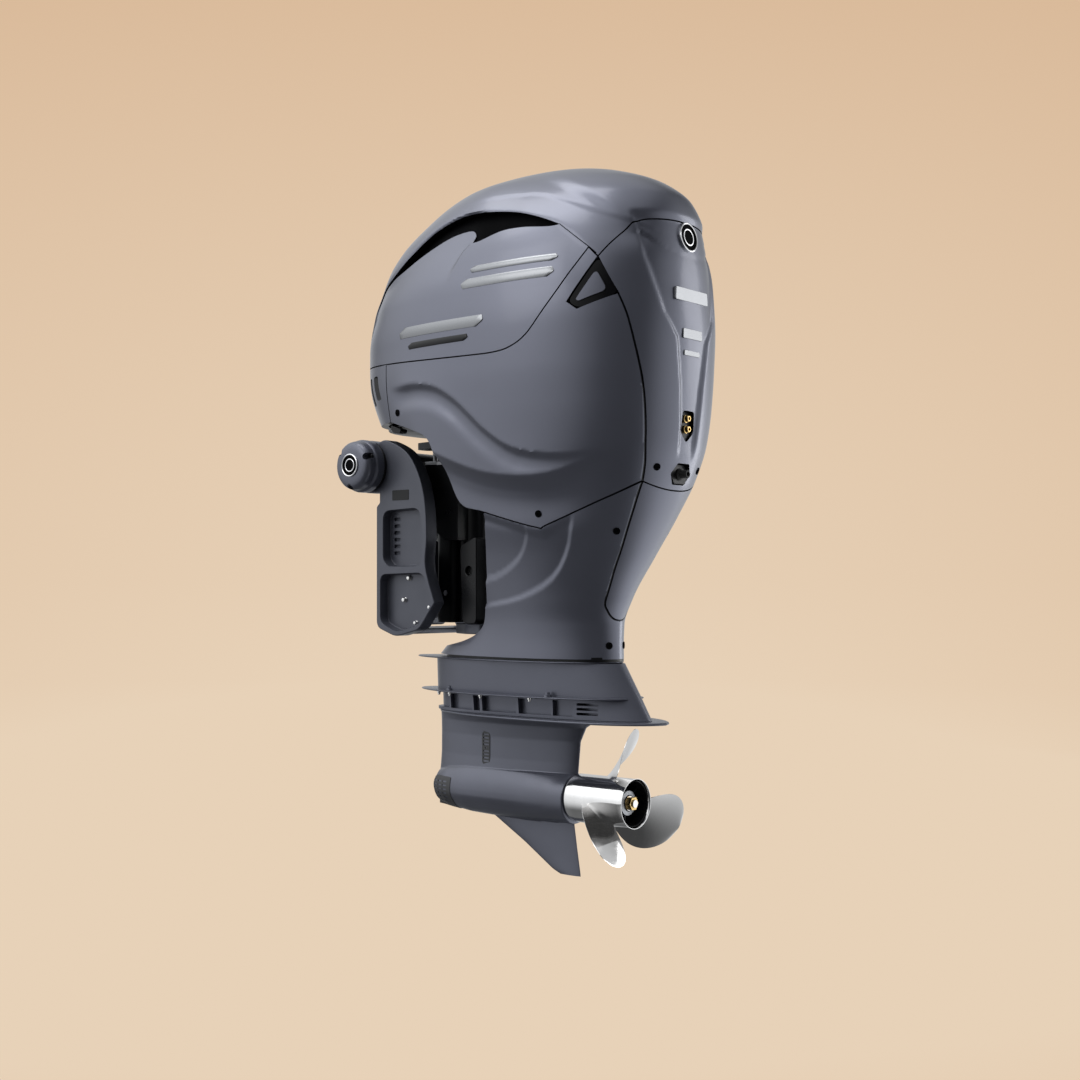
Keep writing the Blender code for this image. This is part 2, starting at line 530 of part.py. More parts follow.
def build_gears(forward_pivot, reverse_pivot, crank_pivot, paint):
    wheel = bevel_gear(GEAR_TEETH, 0.0590, 0.034, 0.0478, 0.060, math.pi / 2)
    gear_solid("forward_gear", wheel, PINION_R, 0.014, 0.040, 0.0155, 1, forward_pivot, paint)
    gear_solid("reverse_gear", wheel, PINION_R, 0.014, 0.040, 0.0200, -1, reverse_pivot, paint)
    rim = bevel_gear(PINION_TEETH, 0.0338, 0.055, 0.0268, 0.105, math.pi / PINION_TEETH)

    def ring(scale):
        z = PROP_Z + GEAR_R * scale
        return [(DRIVE_X + r * scale * math.cos(a), r * scale * math.sin(a), z) for r, a in rim]
    made = solid("pinion_gear", *loft([ring(GEAR_SMALL_END), ring(1.0)]), paint["gear"], crank_pivot)
    cut(made, rod("Z", (DRIVE_X, 0, 0), DRIVESHAFT_R + GAP / 2, PROP_Z, -0.7, 24))


def build_crank(pivot, paint):
    low = PROP_Z + GEAR_R * GEAR_SMALL_END
    solid("driveshaft", *rod("Z", (DRIVE_X, 0, 0), DRIVESHAFT_R, low + 0.001, 0.118, 24), paint["steel"], pivot)
    made = solid("crankshaft", *rod("Z", (DRIVE_X, 0, 0), 0.026, 0.119, 0.590), paint["gear"], pivot)
    for i in range(4):
        z = 0.212 + i * 0.085
        a = math.radians(90 * i)
        throw = rod("Z", (DRIVE_X + 0.030 * math.cos(a), 0.030 * math.sin(a), 0), 0.046, z, z + 0.046, 24)
        add(made, throw)
    disc = [(0.040, 0.5905), (0.165, 0.5905), (0.165, 0.618), (0.060, 0.622), (0.050, 0.634), (0.012, 0.634)]
    solid("flywheel", *lathe(disc, "Z", (DRIVE_X, 0, 0), 40), paint["gear"], pivot)
    made = solid("pump_impeller", *rod("Z", (DRIVE_X, 0, 0), 0.020, -0.680, -0.645, 24), paint["rubber"], pivot)
    for i in range(6):
        a = math.pi * i / 3
        tip, root = 0.032, 0.016
        blade = [(DRIVE_X + r * math.cos(a + d), r * math.sin(a + d))
                 for r, d in ((root, -0.12), (tip, -0.06), (tip, 0.06), (root, 0.12))]
        add(made, prism(blade, "Z", -0.679, -0.646))
    cut(made, rod("Z", (DRIVE_X, 0, 0), DRIVESHAFT_R + GAP / 2, -0.7, -0.6, 24))


def blade_points(rows=9, columns=8):
    """One upright blade as a closed shell: a helical sheet that leans aft, thick at its root."""
    def place(radius, across, side):
        share = (radius - 0.055) / (PROP_R - 0.055)
        reach = 0.44 + 0.16 * math.sin(math.pi * min(share * 0.92, 1))
        reach *= math.sqrt(max(1 - share ** 5, 0.02))
        angle = across * reach - 0.10 * share ** 2
        x = -0.722 - 0.095 * share + PROP_PITCH * angle / (2 * math.pi)
        thick = (0.0060 * (1 - share) + 0.0013) * (1 - 0.75 * across ** 2)
        slope = math.atan2(PROP_PITCH / (2 * math.pi), radius)
        x += side * thick * math.cos(slope)
        angle -= side * thick * math.sin(slope) / radius
        turn = math.pi / 2 + angle
        return (x, radius * math.cos(turn), PROP_Z + radius * math.sin(turn))
    rings = []
    for i in range(rows):
        radius = 0.055 + (PROP_R - 0.055) * (i / (rows - 1)) ** 0.85
        steps = [-1 + 2 * j / (columns - 1) for j in range(columns)]
        rings.append([place(radius, s, 1) for s in steps] + [place(radius, s, -1) for s in steps[::-1]])
    return rings


def build_prop(pivot, paint):
    axis = (0, 0, PROP_Z)
    wall = [(0.0640, HUB_FRONT), (HUB_R, HUB_FRONT - 0.03), (HUB_R, HUB_REAR + 0.004), (HUB_R + 0.001, HUB_REAR),
            (HUB_R - 0.005, HUB_REAR), (HUB_R - 0.006, HUB_FRONT - 0.03), (0.0585, HUB_FRONT)]
    made = solid("propeller", *lathe(wall, "X", axis, 40, loop=True), paint["steel"], pivot)
    add(made, tube("X", axis, 0.034, 0.0195, HUB_REAR + 0.030, HUB_FRONT - 0.012, 28))
    rings = blade_points()
    for i in range(BLADES):
        a = 2 * math.pi * i / BLADES
        c, s = math.cos(a), math.sin(a)
        turned = [[(x, y * c - (z - PROP_Z) * s, PROP_Z + y * s + (z - PROP_Z) * c) for x, y, z in ring]
                  for ring in rings]
        add(made, loft(turned))
        rib = [(0.032, -0.0035), (0.064, -0.0035), (0.064, 0.0035), (0.032, 0.0035)]
        turned = [(y * math.cos(a + 0.5) - z * math.sin(a + 0.5), PROP_Z + y * math.sin(a + 0.5)
                   + z * math.cos(a + 0.5)) for y, z in rib]
        add(made, prism(turned, "X", HUB_REAR + 0.034, HUB_FRONT - 0.02))
    shaft = [(0.012, -0.285), (0.012, -0.329), (0.0150, -0.329), (0.0150, -0.480), (0.0185, -0.490),
             (0.0185, -0.600), (0.0105, -0.660), (0.0105, -0.812)]
    solid("propeller_shaft", *lathe(shaft, "X", axis, 28), paint["steel"], pivot)
    dog = tube("X", axis, 0.026, 0.0150 + GAP / 2, -0.372, -0.348, 24)
    solid("clutch_dog", *dog, paint["gear"], pivot)
    nut = solid("prop_nut", *rod("X", axis, 0.0190, -0.8075, -0.7925, 6), paint["brass"], pivot)
    cut(nut, rod("X", axis, 0.0105 + GAP / 2, -0.9, -0.7, 28))


# ---------------------------------------------------------------- powerhead
def build_powerhead(pivot, paint):
    plan = [(-0.235, 0.085), (-0.275, 0.115), (-0.450, 0.125), (-0.610, 0.215), (-0.690, 0.085), (-0.700, 0.0)]
    plan = plan + [(x, -y) for x, y in plan[:-1][::-1]]
    made = solid("engine_block", *prism(plan, "Z", 0.0905 + GAP, 0.560), paint["alloy"], pivot)
    cut(made, box((-0.400, -0.1), (-0.3, 0.3), (0.0, 0.1975)))
    cut(made, rod("Z", (DRIVE_X, 0, 0), 0.080, 0.205, 0.545, 32), rod("Z", (DRIVE_X, 0, 0), 0.028, 0.0, 0.7, 24))
    for name, side in (("port", 1), ("starboard", -1)):
        head = [(-0.6125, 0.214), (-0.6915, 0.0845), (-0.760, 0.128), (-0.684, 0.250)]
        outline = [(x, side * y) for x, y in head]
        made = solid(f"cylinder_head_{name}", *prism(outline, "Z", 0.110, 0.540), paint["alloy"], pivot)
        cover = [(-0.750, 0.120), (-0.680, 0.240), (-0.718, 0.262), (-0.800, 0.150)]
        outline = rounded([(x, side * y) for x, y in cover], 0.012, 3)
        add(made, prism(outline, "Z", 0.130, 0.520))
    plenum = rounded([(-0.030, 0.150), (-0.200, 0.170), (-0.230, 0.070), (-0.230, -0.070), (-0.200, -0.170),
                      (-0.030, -0.150)], 0.04, 4)
    solid("intake_plenum", *prism(plenum, "Z", 0.240, 0.540), paint["black"], pivot)


# ---------------------------------------------------------------- cowling
def build_lower_cowl(pivot, paint):
    front = [(-0.125, 0.3716)]
    outline = front + COWL_SEAM[1:] + INSERT[:1] + INSERT[1:3] + REAR_SEAM + LOWER_EDGE[::-1][1:]
    for name, side in (("port", 1), ("starboard", -1)):
        panel(f"lower_cowl_{name}", outline, paint["paint"], pivot, sorted((0.0, side * 0.5)))
        panel(f"side_insert_{name}", INSERT, paint["black"], pivot, sorted((0.0, side * 0.5)))
    cover = [(-0.125, 0.205), (-0.125, 0.3716), (0.200, 0.390), (0.200, 0.205)]
    made = panel("front_cover", cover, paint["paint"], pivot)
    cut(made, box((0.05, 0.15), (-0.046, 0.046), (0.266, 0.338)))
    floor = [(x, y) for x, y in oval(0.012, -0.34, 0.262, 2.7, 2.5, 36, -0.34) if x > -0.335]
    floor.sort(key=lambda p: math.atan2(p[1], p[0] + 0.335))
    solid("cowl_floor", *prism(floor, "Z", 0.190, 0.196), paint["black"], pivot)
    outline = ROOF_REAR[:1] + INSERT[3:] + REAR_SEAM[1:-1] + REAR_FOOT + ROOF_REAR[::-1][:-1]
    made = panel("rear_cover", outline, paint["paint"], pivot)
    cut(made, rod("X", (0, 0, 0.162), 0.0131, -1.05, -0.90, 20), rod("X", (0, 0, 0.030), 0.021, -1.05, -0.90, 6))
    tail = TAIL_SEAM + REAR_FOOT[::-1][:-1]
    panel("rear_lower_cover", tail, paint["paint"], pivot)


def build_fittings(pivot, paint):
    made = solid("flush_fitting", *rod("X", (0, 0, 0.162), 0.0125, -0.984, -0.955, 20), paint["brass"], pivot)
    cut(made, rod("X", (0, 0, 0.162), 0.0075, -1.0, -0.965, 16))
    nozzle = [(0.0160, -0.930), (0.0160, -0.958), (0.0100, -0.964), (0.0100, -0.9800), (0.0055, -0.9800),
              (0.0055, -0.930)]
    solid("water_outlet", *lathe(nozzle, "X", (0, 0, 0.030), 24, loop=True), paint["black"], pivot)


def build_top_cowl(pivot, paint):
    outline = COWL_SEAM + ROOF_REAR + [(-1.10, 1.0), (0.20, 1.0)]
    made = panel("top_cowl", outline, paint["paint"], pivot)
    for side in (1, -1):
        cut(made, prism(SCOOP, "Y", *sorted((side * 0.12, side * 0.5))))


def build_latch(pivot, paint):
    made = solid("cowl_latch", *box((0.076, 0.0855), (-0.0445, 0.0445), (0.2675, 0.3325)), paint["black"], pivot)
    cut(made, box((0.082, 0.1), (-0.034, 0.034), (0.275, 0.300)))


# ---------------------------------------------------------------- the whole motor
def main():
    for old in list(bpy.data.objects):
        bpy.data.objects.remove(old)
    paint = materials()

    clamp = empty("clamp_axis", (0, 0, 0))
    swivel = empty("tilt_axis", (TILT_X, 0, TILT_Z), clamp)
    cylinder = empty("cylinder_axis", (CYLINDER_PIN[0], 0, CYLINDER_PIN[1]), clamp)
    tilt_rod = empty("rod_axis", (CYLINDER_PIN[0], 0, CYLINDER_PIN[1]), cylinder)
    carriage = empty("carriage_axis", (-0.060, 0, 0.085), swivel)
    lever = empty("lever_axis", (-0.120, 0.095, 0.020), swivel)
    engine = empty("steering_axis", (STEER_X, 0, 0), swivel)
    cowl = empty("top_cowl_axis", (STEER_X, 0, 0.37), engine)
    latch = empty("latch_axis", (0.080, 0, 0.330), engine)
    crank = empty("crank_axis", (DRIVE_X, 0, 0), engine)
    prop = empty("propeller_axis", (DRIVE_X, 0, PROP_Z), engine)
    reverse = empty("reverse_axis", (DRIVE_X, 0, PROP_Z), engine)

    build_clamp(clamp, paint)
    build_swivel(swivel, paint)
    build_cylinder(cylinder, paint)
    build_tilt_rod(tilt_rod, paint)
    build_carriage(carriage, paint)
    build_support_lever(lever, paint)
    build_steering(engine, paint)
    build_midsection(engine, paint)
    build_apron(engine, paint)
    build_gearcase(engine, paint)
    build_gearcase_trim(engine, paint)
    build_powerhead(engine, paint)
    build_lower_cowl(engine, paint)
    build_fittings(engine, paint)
    build_top_cowl(cowl, paint)
    build_latch(latch, paint)
    build_gears(prop, reverse, crank, paint)
    build_crank(crank, paint)
    build_prop(prop, paint)


main()
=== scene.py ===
"""The looks of an offshore outboard motor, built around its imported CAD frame.

Metres, +X forward, +Y port, +Z up.
"""

import json
import math

import bmesh
import bpy
import numpy as np
from mathutils import Matrix, Vector
from mathutils.bvhtree import BVHTree

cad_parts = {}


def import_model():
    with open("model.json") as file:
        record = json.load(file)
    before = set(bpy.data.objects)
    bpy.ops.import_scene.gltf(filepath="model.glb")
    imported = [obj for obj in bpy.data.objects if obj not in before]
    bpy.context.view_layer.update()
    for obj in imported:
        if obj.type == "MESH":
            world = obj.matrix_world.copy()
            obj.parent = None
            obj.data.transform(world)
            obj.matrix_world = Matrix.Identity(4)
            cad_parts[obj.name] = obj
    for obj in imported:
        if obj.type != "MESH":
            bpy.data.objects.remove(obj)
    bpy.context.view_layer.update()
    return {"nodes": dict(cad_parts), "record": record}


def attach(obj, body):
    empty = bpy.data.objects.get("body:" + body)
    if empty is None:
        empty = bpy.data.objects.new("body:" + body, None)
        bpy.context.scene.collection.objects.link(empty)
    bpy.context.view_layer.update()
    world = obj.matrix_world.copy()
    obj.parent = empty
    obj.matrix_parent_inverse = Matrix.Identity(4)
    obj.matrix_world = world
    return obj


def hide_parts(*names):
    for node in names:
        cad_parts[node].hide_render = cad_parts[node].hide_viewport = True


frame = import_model()
NODES = frame["nodes"]

# ---------------------------------------------------------------- dimensions shared with the CAD
SEAM = 0.0019
WALL = 0.020
SLIM = 0.990  # the skin's width against the CAD's, which leaves room for the trim on it
HALF_WIDTH = 0.3119  # the widest that the skin may be on a side
DEEPEST = 0.0180  # how far the styling may push the skin in
SKIN_REACH = 0.0011  # a face this near the outer skin is painted
TRIM_RISE = 0.0024
FILLET = 0.046
VENT_PLATE_Z, SPRAY_PLATE_Z, SPLASH_PLATE_Z = -0.6345, -0.5715, -0.4745
HUB_R, TIP_R, PITCH, BLADES = 0.0655, 0.205, 0.46, 3
BRACKET_FACES = (0.1455, 0.1898)
PROP_Z = -0.856
DRIVE_X = -0.360
TILT_X, TILT_Z = 0.030, 0.090
SKIN = (
    (-0.465, -0.100, -0.757, 0.125, 2.0, 2.0), (-0.420, -0.150, -0.756, 0.127, 2.0, 2.0),
    (-0.370, -0.215, -0.757, 0.133, 2.1, 2.0), (-0.300, -0.240, -0.783, 0.150, 2.3, 2.0),
    (-0.184, -0.235, -0.852, 0.185, 2.5, 2.1), (-0.080, -0.190, -0.912, 0.228, 2.6, 2.2),
    (0.020, -0.110, -0.958, 0.265, 2.7, 2.35), (0.120, -0.020, -0.986, 0.290, 2.7, 2.45),
    (0.220, 0.050, -0.996, 0.304, 2.7, 2.5), (0.320, 0.088, -1.002, 0.311, 2.7, 2.5),
    (0.420, 0.098, -1.006, 0.312, 2.6, 2.5), (0.530, 0.077, -1.001, 0.305, 2.6, 2.5),
    (0.620, 0.036, -0.994, 0.289, 2.5, 2.5), (0.700, -0.030, -0.982, 0.264, 2.5, 2.5),
    (0.765, -0.112, -0.955, 0.232, 2.4, 2.5), (0.819, -0.196, -0.890, 0.192, 2.3, 2.4),
    (0.855, -0.288, -0.800, 0.149, 2.2, 2.3), (0.879, -0.384, -0.710, 0.100, 2.1, 2.2),
    (0.891, -0.470, -0.640, 0.049, 2.0, 2.0),)
COWL_SEAM = [
    (0.20, 0.390), (-0.050, 0.374), (-0.295, 0.362), (-0.480, 0.357), (-0.567, 0.357),
    (-0.623, 0.366), (-0.675, 0.394), (-0.727, 0.454), (-0.777, 0.520), (-0.836, 0.610)]
ROOF_REAR = [(-0.862, 0.583), (-0.927, 0.682), (-1.10, 0.715)]
INSERT = [(-0.862, 0.583), (-0.793, 0.469), (-0.819, 0.450), (-0.912, 0.486)]
REAR_SEAM = [
    (-0.912, 0.486), (-0.933, 0.422), (-0.950, 0.312), (-0.955, 0.230), (-0.951, 0.143),
    (-0.939, 0.067), (-0.921, 0.008)]
REAR_FOOT = [(-0.921, 0.008), (-0.948, -0.016), (-1.10, -0.018)]
LOWER_EDGE = [
    (-0.125, 0.205), (-0.252, 0.168), (-0.303, 0.141), (-0.333, 0.073), (-0.373, -0.034),
    (-0.460, -0.062), (-0.628, -0.107), (-0.664, -0.101), (-0.847, -0.030), (-0.921, 0.008)]
TAIL_SEAM = [
    (-0.921, 0.008), (-0.876, -0.079), (-0.827, -0.169), (-0.790, -0.235), (-0.756, -0.304),
    (-0.752, -0.331), (-0.757, -0.358), (-0.780, -0.375), (-1.10, -0.375)]
APRON_FRONT = [
    (-0.455, -0.066), (-0.410, -0.200), (-0.378, -0.330), (-0.345, -0.388), (-0.250, -0.424),
    (-0.060, -0.450)]

# Lines of the styling, seen from the side as (X, Z), from front to rear.
# SCOOP_FLOOR runs the other way.
LIP = [
    (0.012, 0.495), (-0.010, 0.547), (-0.034, 0.599), (-0.116, 0.632), (-0.206, 0.681),
    (-0.304, 0.735), (-0.420, 0.759), (-0.564, 0.744), (-0.664, 0.716), (-0.746, 0.682),
    (-0.840, 0.608), (-0.869, 0.578)]
SCOOP_FLOOR = [
    (-0.746, 0.681), (-0.708, 0.680), (-0.626, 0.689), (-0.558, 0.688), (-0.494, 0.672),
    (-0.462, 0.668), (-0.448, 0.668), (-0.450, 0.682), (-0.452, 0.695), (-0.428, 0.712),
    (-0.363, 0.708), (-0.286, 0.683), (-0.180, 0.639), (-0.110, 0.618), (-0.045, 0.593),
    (-0.014, 0.545), (0.009, 0.4945)]
ROOF_CREASE = [
    (-0.200, 0.745), (-0.283, 0.770), (-0.434, 0.792), (-0.628, 0.790), (-0.726, 0.758),
    (-0.816, 0.721), (-0.930, 0.675)]
HUMP = [
    (-0.480, 0.882), (-0.559, 0.873), (-0.674, 0.833), (-0.799, 0.769), (-0.874, 0.718),
    (-0.933, 0.664)]
WING = [
    (-0.100, 0.300), (-0.186, 0.298), (-0.270, 0.299), (-0.353, 0.283), (-0.425, 0.243),
    (-0.478, 0.199), (-0.533, 0.152), (-0.623, 0.100), (-0.759, 0.081), (-0.900, 0.095)]
WAVE = [
    (-0.220, 0.165), (-0.285, 0.125), (-0.369, 0.089), (-0.493, 0.047), (-0.618, 0.031),
    (-0.750, 0.041), (-0.890, 0.093)]
DISH_IN = [
    (-0.300, -0.262), (-0.374, -0.256), (-0.460, -0.240), (-0.540, -0.198), (-0.582, -0.150),
    (-0.598, -0.108), (-0.602, -0.040)]
DISH_OUT = [
    (-0.280, -0.336), (-0.386, -0.326), (-0.527, -0.303), (-0.643, -0.249), (-0.716, -0.156),
    (-0.760, -0.040)]


# ---------------------------------------------------------------- shape helpers
def smooth_line(points, steps=6):
    """A Catmull-Rom curve through the points, in two or three dimensions."""
    p = [np.array(q, float) for q in [points[0], *points, points[-1]]]
    line = []
    for i in range(1, len(p) - 2):
        a, b, c, d = p[i - 1:i + 3]
        for k in range(steps):
            t = k / steps
            line.append(tuple(0.5 * (2 * b + (c - a) * t + (2 * a - 5 * b + 4 * c - d) * t * t
                + (3 * b - a - 3 * c + d) * t ** 3)))
    return line + [tuple(p[-1])]


def shrunk(outline, by):
    """The outline moved inwards by a distance, corner by corner."""
    size = len(outline)
    area = sum(outline[i - 1][0] * outline[i][1] - outline[i][0] * outline[i - 1][1] for i
        in range(size))
    side = 1 if area > 0 else -1
    moved = []
    for i in range(size):
        here = Vector(outline[i])
        into = (here - Vector(outline[i - 1])).normalized()
        out = (Vector(outline[(i + 1) % size]) - here).normalized()
        normals = [Vector((-d.y, d.x)) * side for d in (into, out)]
        middle = (normals[0] + normals[1]).normalized()
        moved.append(tuple(here + middle * by / max(middle.dot(normals[0]), 0.4)))
    return moved


def rounded(outline, radius, steps=5):
    """The outline with each corner cut by an arc-like curve."""
    soft = []
    for i, corner in enumerate(outline):
        here = Vector(corner)
        before = Vector(outline[i - 1]) - here
        after = Vector(outline[(i + 1) % len(outline)]) - here
        reach = min(radius, before.length / 2.2, after.length / 2.2)
        start = here + before.normalized() * reach
        end = here + after.normalized() * reach
        for k in range(steps + 1):
            t = k / steps
            soft.append(tuple(start * (1 - t) ** 2 + here * 2 * t * (1 - t) + end * t ** 2))
    return soft


def pad(x, z, radius, steps=5):
    """A rounded rectangle from its two sides and its two levels."""
    return rounded([(x[0], z[0]), (x[0], z[1]), (x[1], z[1]), (x[1], z[0])], radius, steps)


def wide(sign, near, far):
    """Y from near to far on one side, the lower first."""
    return sorted((sign * near, sign * far))


def arc(centre, radius, start, end, count):
    turn = [math.radians(start + (end - start) * i / (count - 1)) for i in range(count)]
    return [(centre[0] + radius * math.cos(a), centre[1] + radius * math.sin(a)) for a in turn]


def loft(rings, capped=True):
    count = len(rings[0])
    points = [tuple(map(float, p)) for ring in rings for p in ring]
    faces = []
    if capped:
        faces = [tuple(range(count))[::-1], tuple(range(len(points) - count, len(points)))]
    for level in range(len(rings) - 1):
        low = level * count
        for i in range(count):
            j = (i + 1) % count
            faces.append((low + i, low + j, low + count + j, low + count + i))
    return points, faces


def prism(outline, axis, low, high):
    place = {"X": lambda p, t: (t, p[0], p[1]), "Y": lambda p, t: (p[0], t, p[1]), "Z": lambda p,
        t: (p[0], p[1], t),}[axis]
    return loft([[place(p, t) for p in outline] for t in (low, high)])


def box(x, y, z):
    return prism([(x[0], y[0]), (x[1], y[0]), (x[1], y[1]), (x[0], y[1])], "Z", z[0], z[1])


def lathe(profile, axis, centre, steps=64, loop=False):
    place = {"X": lambda r, a, t: (t, centre[1] + r * math.cos(a), centre[2] + r * math.sin(a)),
        "Y": lambda r, a, t: (centre[0] + r * math.cos(a), t, centre[2] + r * math.sin(a)),
        "Z": lambda r, a, t: (centre[0] + r * math.cos(a), centre[1] + r * math.sin(a), t),}[axis]
    angles = [2 * math.pi * i / steps for i in range(steps)]
    points, faces = loft([[place(r, a, t) for a in angles] for r, t in profile], capped=not loop)
    if loop:
        last = len(points) - steps
        faces += [(last + i, last + (i + 1) % steps, (i + 1) % steps, i) for i in range(steps)]
    return points, faces


def rod(axis, centre, radius, low, high, steps=48):
    return lathe([(radius, low), (radius, high)], axis, centre, steps)


def aimed(shape, place, direction):
    """A shape made about +Z at the origin, turned to a direction and moved to a place."""
    turn = Vector(direction).to_track_quat("Z", "Y").to_matrix().to_4x4()
    move = Matrix.Translation(Vector(place)) @ turn
    return [tuple(move @ Vector(p)) for p in shape[0]], shape[1]


def joined(shapes):
    points, faces = [], []
    for p, f in shapes:
        base = len(points)
        points += p
        faces += [tuple(base + i for i in face) for face in f]
    return points, faces


def linked(name, data):
    """A new object in the scene."""
    obj = bpy.data.objects.new(name, data)
    bpy.context.scene.collection.objects.link(obj)
    return obj


def made(name, shape):
    """An object from points and faces, with its normals outwards."""
    mesh = bpy.data.meshes.new(name)
    mesh.from_pydata(shape[0], [], shape[1])
    form = bmesh.new()
    form.from_mesh(mesh)
    bmesh.ops.recalc_face_normals(form, faces=form.faces)
    if form.calc_volume(signed=True) < 0:
        bmesh.ops.reverse_faces(form, faces=form.faces)
    form.to_mesh(mesh)
    form.free()
    return linked(name, mesh)


def applied(obj):
    """Makes the modifiers part of the mesh."""
    graph = bpy.context.evaluated_depsgraph_get()
    mesh = bpy.data.meshes.new_from_object(obj.evaluated_get(graph), depsgraph=graph)
    obj.modifiers.clear()
    obj.data = mesh
    return obj


def combine(obj, kind, shapes):
    """Joins, cuts or keeps by shapes or by objects; shapes are thrown away afterwards."""
    helpers = []
    for i, shape in enumerate(shapes):
        helper = shape if isinstance(shape, bpy.types.Object) else made(f"helper_{i}", shape)
        change = obj.modifiers.new(f"{kind} {i}", "BOOLEAN")
        change.operation = kind
        change.object = helper
        change.solver = "MANIFOLD"
        helpers.append((helper, not isinstance(shape, bpy.types.Object)))
    applied(obj)
    for helper, own in helpers:
        if own:
            bpy.data.objects.remove(helper)
    return obj


def cut(obj, *shapes):
    return combine(obj, "DIFFERENCE", shapes)


def keep(obj, outline, side=(-0.5, 0.5)):
    """Keeps what lies inside an outline seen from the side."""
    return combine(obj, "INTERSECT", [prism(outline, "Y", *side)])


def shade(obj, angle=32):
    obj.data.polygons.foreach_set("use_smooth", [True] * len(obj.data.polygons))
    obj.data.set_sharp_from_angle(angle=math.radians(angle))
    return obj


BEVELLED = set()


def bevelled(obj, width, segments=3, angle=32):
    """Rounds the edges; place_piece then keeps the flats flat."""
    BEVELLED.add(obj.name)
    form = bmesh.new()
    form.from_mesh(obj.data)
    bmesh.ops.remove_doubles(form, verts=form.verts, dist=2e-6)
    bmesh.ops.dissolve_limit(form, angle_limit=math.radians(1.0), verts=form.verts,
        edges=form.edges)
    form.to_mesh(obj.data)
    form.free()
    change = obj.modifiers.new("Bevel", "BEVEL")
    change.width = width
    change.segments = segments
    change.limit_method = "ANGLE"
    change.angle_limit = math.radians(angle)
    return applied(obj)


def coat(obj, material):
    """One material all over."""
    obj.data.materials.clear()
    obj.data.materials.append(material)
    obj.data.polygons.foreach_set("material_index", [0] * len(obj.data.polygons))
    return obj


def place_piece(obj, body, slot, replaces=(), angle=32, material=None, coated=True):
    """Finishes a piece and says what it rides and which nodes it replaces; the slot picks its
    finish unless another is given or it is already painted.
    """
    if coated:
        coat(obj, material or SLOT_LOOK[slot])
    shade(obj, angle)
    if obj.name in BEVELLED:
        flats = obj.modifiers.new("Flats", "WEIGHTED_NORMAL")
        flats.keep_sharp = True
        applied(obj)
    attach(obj, body)
    if replaces:
        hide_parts(*replaces)
    return obj


def piece(name, shape, *where, **look):
    return place_piece(made(name, shape), *where, **look)


# ---------------------------------------------------------------- materials
def wiring(tree):
    """Short ways to add a node to a tree and to link two sockets."""
    return lambda kind: tree.nodes.new("ShaderNode" + kind), tree.links.new


def principled(name, colour, roughness, metallic=0.0, coat=0.0, tint=0.10, tint_scale=6.0,
        rough_range=0.06, rough_scale=9.0, bump=0.05, bump_scale=350.0, bump_height=0.0006,
        stretch=(1, 1, 1), coat_rough=0.08, sheen=0.0, specular=0.5):
    """A Principled material whose colour, roughness and bump come from noise in object space."""
    m = bpy.data.materials.new(name)
    m.use_nodes = True
    tree = m.node_tree
    shader = tree.nodes["Principled BSDF"]
    new, link = wiring(tree)
    coord = new("TexCoord")
    mapping = new("Mapping")
    mapping.inputs["Scale"].default_value = stretch
    link(coord.outputs["Object"], mapping.inputs["Vector"])

    def noise(scale, detail):
        node = new("TexNoise")
        node.inputs["Scale"].default_value = scale
        node.inputs["Detail"].default_value = detail
        link(mapping.outputs["Vector"], node.inputs["Vector"])
        return node.outputs["Fac"]
    ramp = new("ValToRGB")
    ramp.color_ramp.elements[0].position, ramp.color_ramp.elements[1].position = 0.30, 0.70
    ramp.color_ramp.elements[0].color = (*[c * (1 - tint) for c in colour], 1)
    ramp.color_ramp.elements[1].color = (*[min(c * (1 + tint), 1) for c in colour], 1)
    link(noise(tint_scale, 4.0), ramp.inputs["Fac"])
    link(ramp.outputs["Color"], shader.inputs["Base Color"])
    spread = new("MapRange")
    spread.inputs["From Min"].default_value, spread.inputs["From Max"].default_value = 0.3, 0.7
    spread.inputs["To Min"].default_value = max(roughness - rough_range, 0.02)
    spread.inputs["To Max"].default_value = roughness + rough_range
    link(noise(rough_scale, 3.0), spread.inputs["Value"])
    link(spread.outputs["Result"], shader.inputs["Roughness"])
    relief = new("Bump")
    relief.inputs["Strength"].default_value = bump
    relief.inputs["Distance"].default_value = bump_height
    link(noise(bump_scale, 2.0), relief.inputs["Height"])
    link(relief.outputs["Normal"], shader.inputs["Normal"])
    shader.inputs["Metallic"].default_value = metallic
    shader.inputs["Coat Weight"].default_value = coat
    shader.inputs["Coat Roughness"].default_value = coat_rough
    shader.inputs["Sheen Weight"].default_value = sheen
    shader.inputs["Specular IOR Level"].default_value = specular
    m.diffuse_color = (*colour, 1)
    return m


PAINT = principled("cowl_paint", (0.150, 0.156, 0.196), 0.33, 0.60, coat=0.35, tint=0.04,
    tint_scale=3.0, rough_range=0.02, bump=0.04, bump_scale=900.0, bump_height=0.0003,
    coat_rough=0.12)
CASE = principled("case_paint", (0.116, 0.121, 0.153), 0.38, 0.50, coat=0.25, tint=0.06,
    rough_range=0.04, bump=0.05, bump_scale=500.0, coat_rough=0.16)
DARK = principled("bracket_paint", (0.082, 0.086, 0.108), 0.42, 0.40, coat=0.20, tint=0.10,
    rough_range=0.06, bump=0.12, bump_scale=260.0, coat_rough=0.2)
BLACK = principled("black_plastic", (0.006, 0.006, 0.007), 0.34, specular=0.30, tint=0.25,
    rough_range=0.08, bump=0.12, bump_scale=600.0)
# Near-black and dull: the deep black of the screws, the plugs and the badges' dishes, and painted
# shade on the sheets inside the cowl and on the lip's crease.
DEEP_BLACK_AND_SHADE = principled("cowl_liner", (0.0025, 0.0025, 0.003), 0.85, specular=0.05, tint=0.3,
    rough_range=0.08, bump=0.15)
RUBBER = principled("black_rubber", (0.014, 0.014, 0.014), 0.72, tint=0.2, rough_range=0.06,
    bump=0.2, bump_scale=220.0, sheen=0.15)
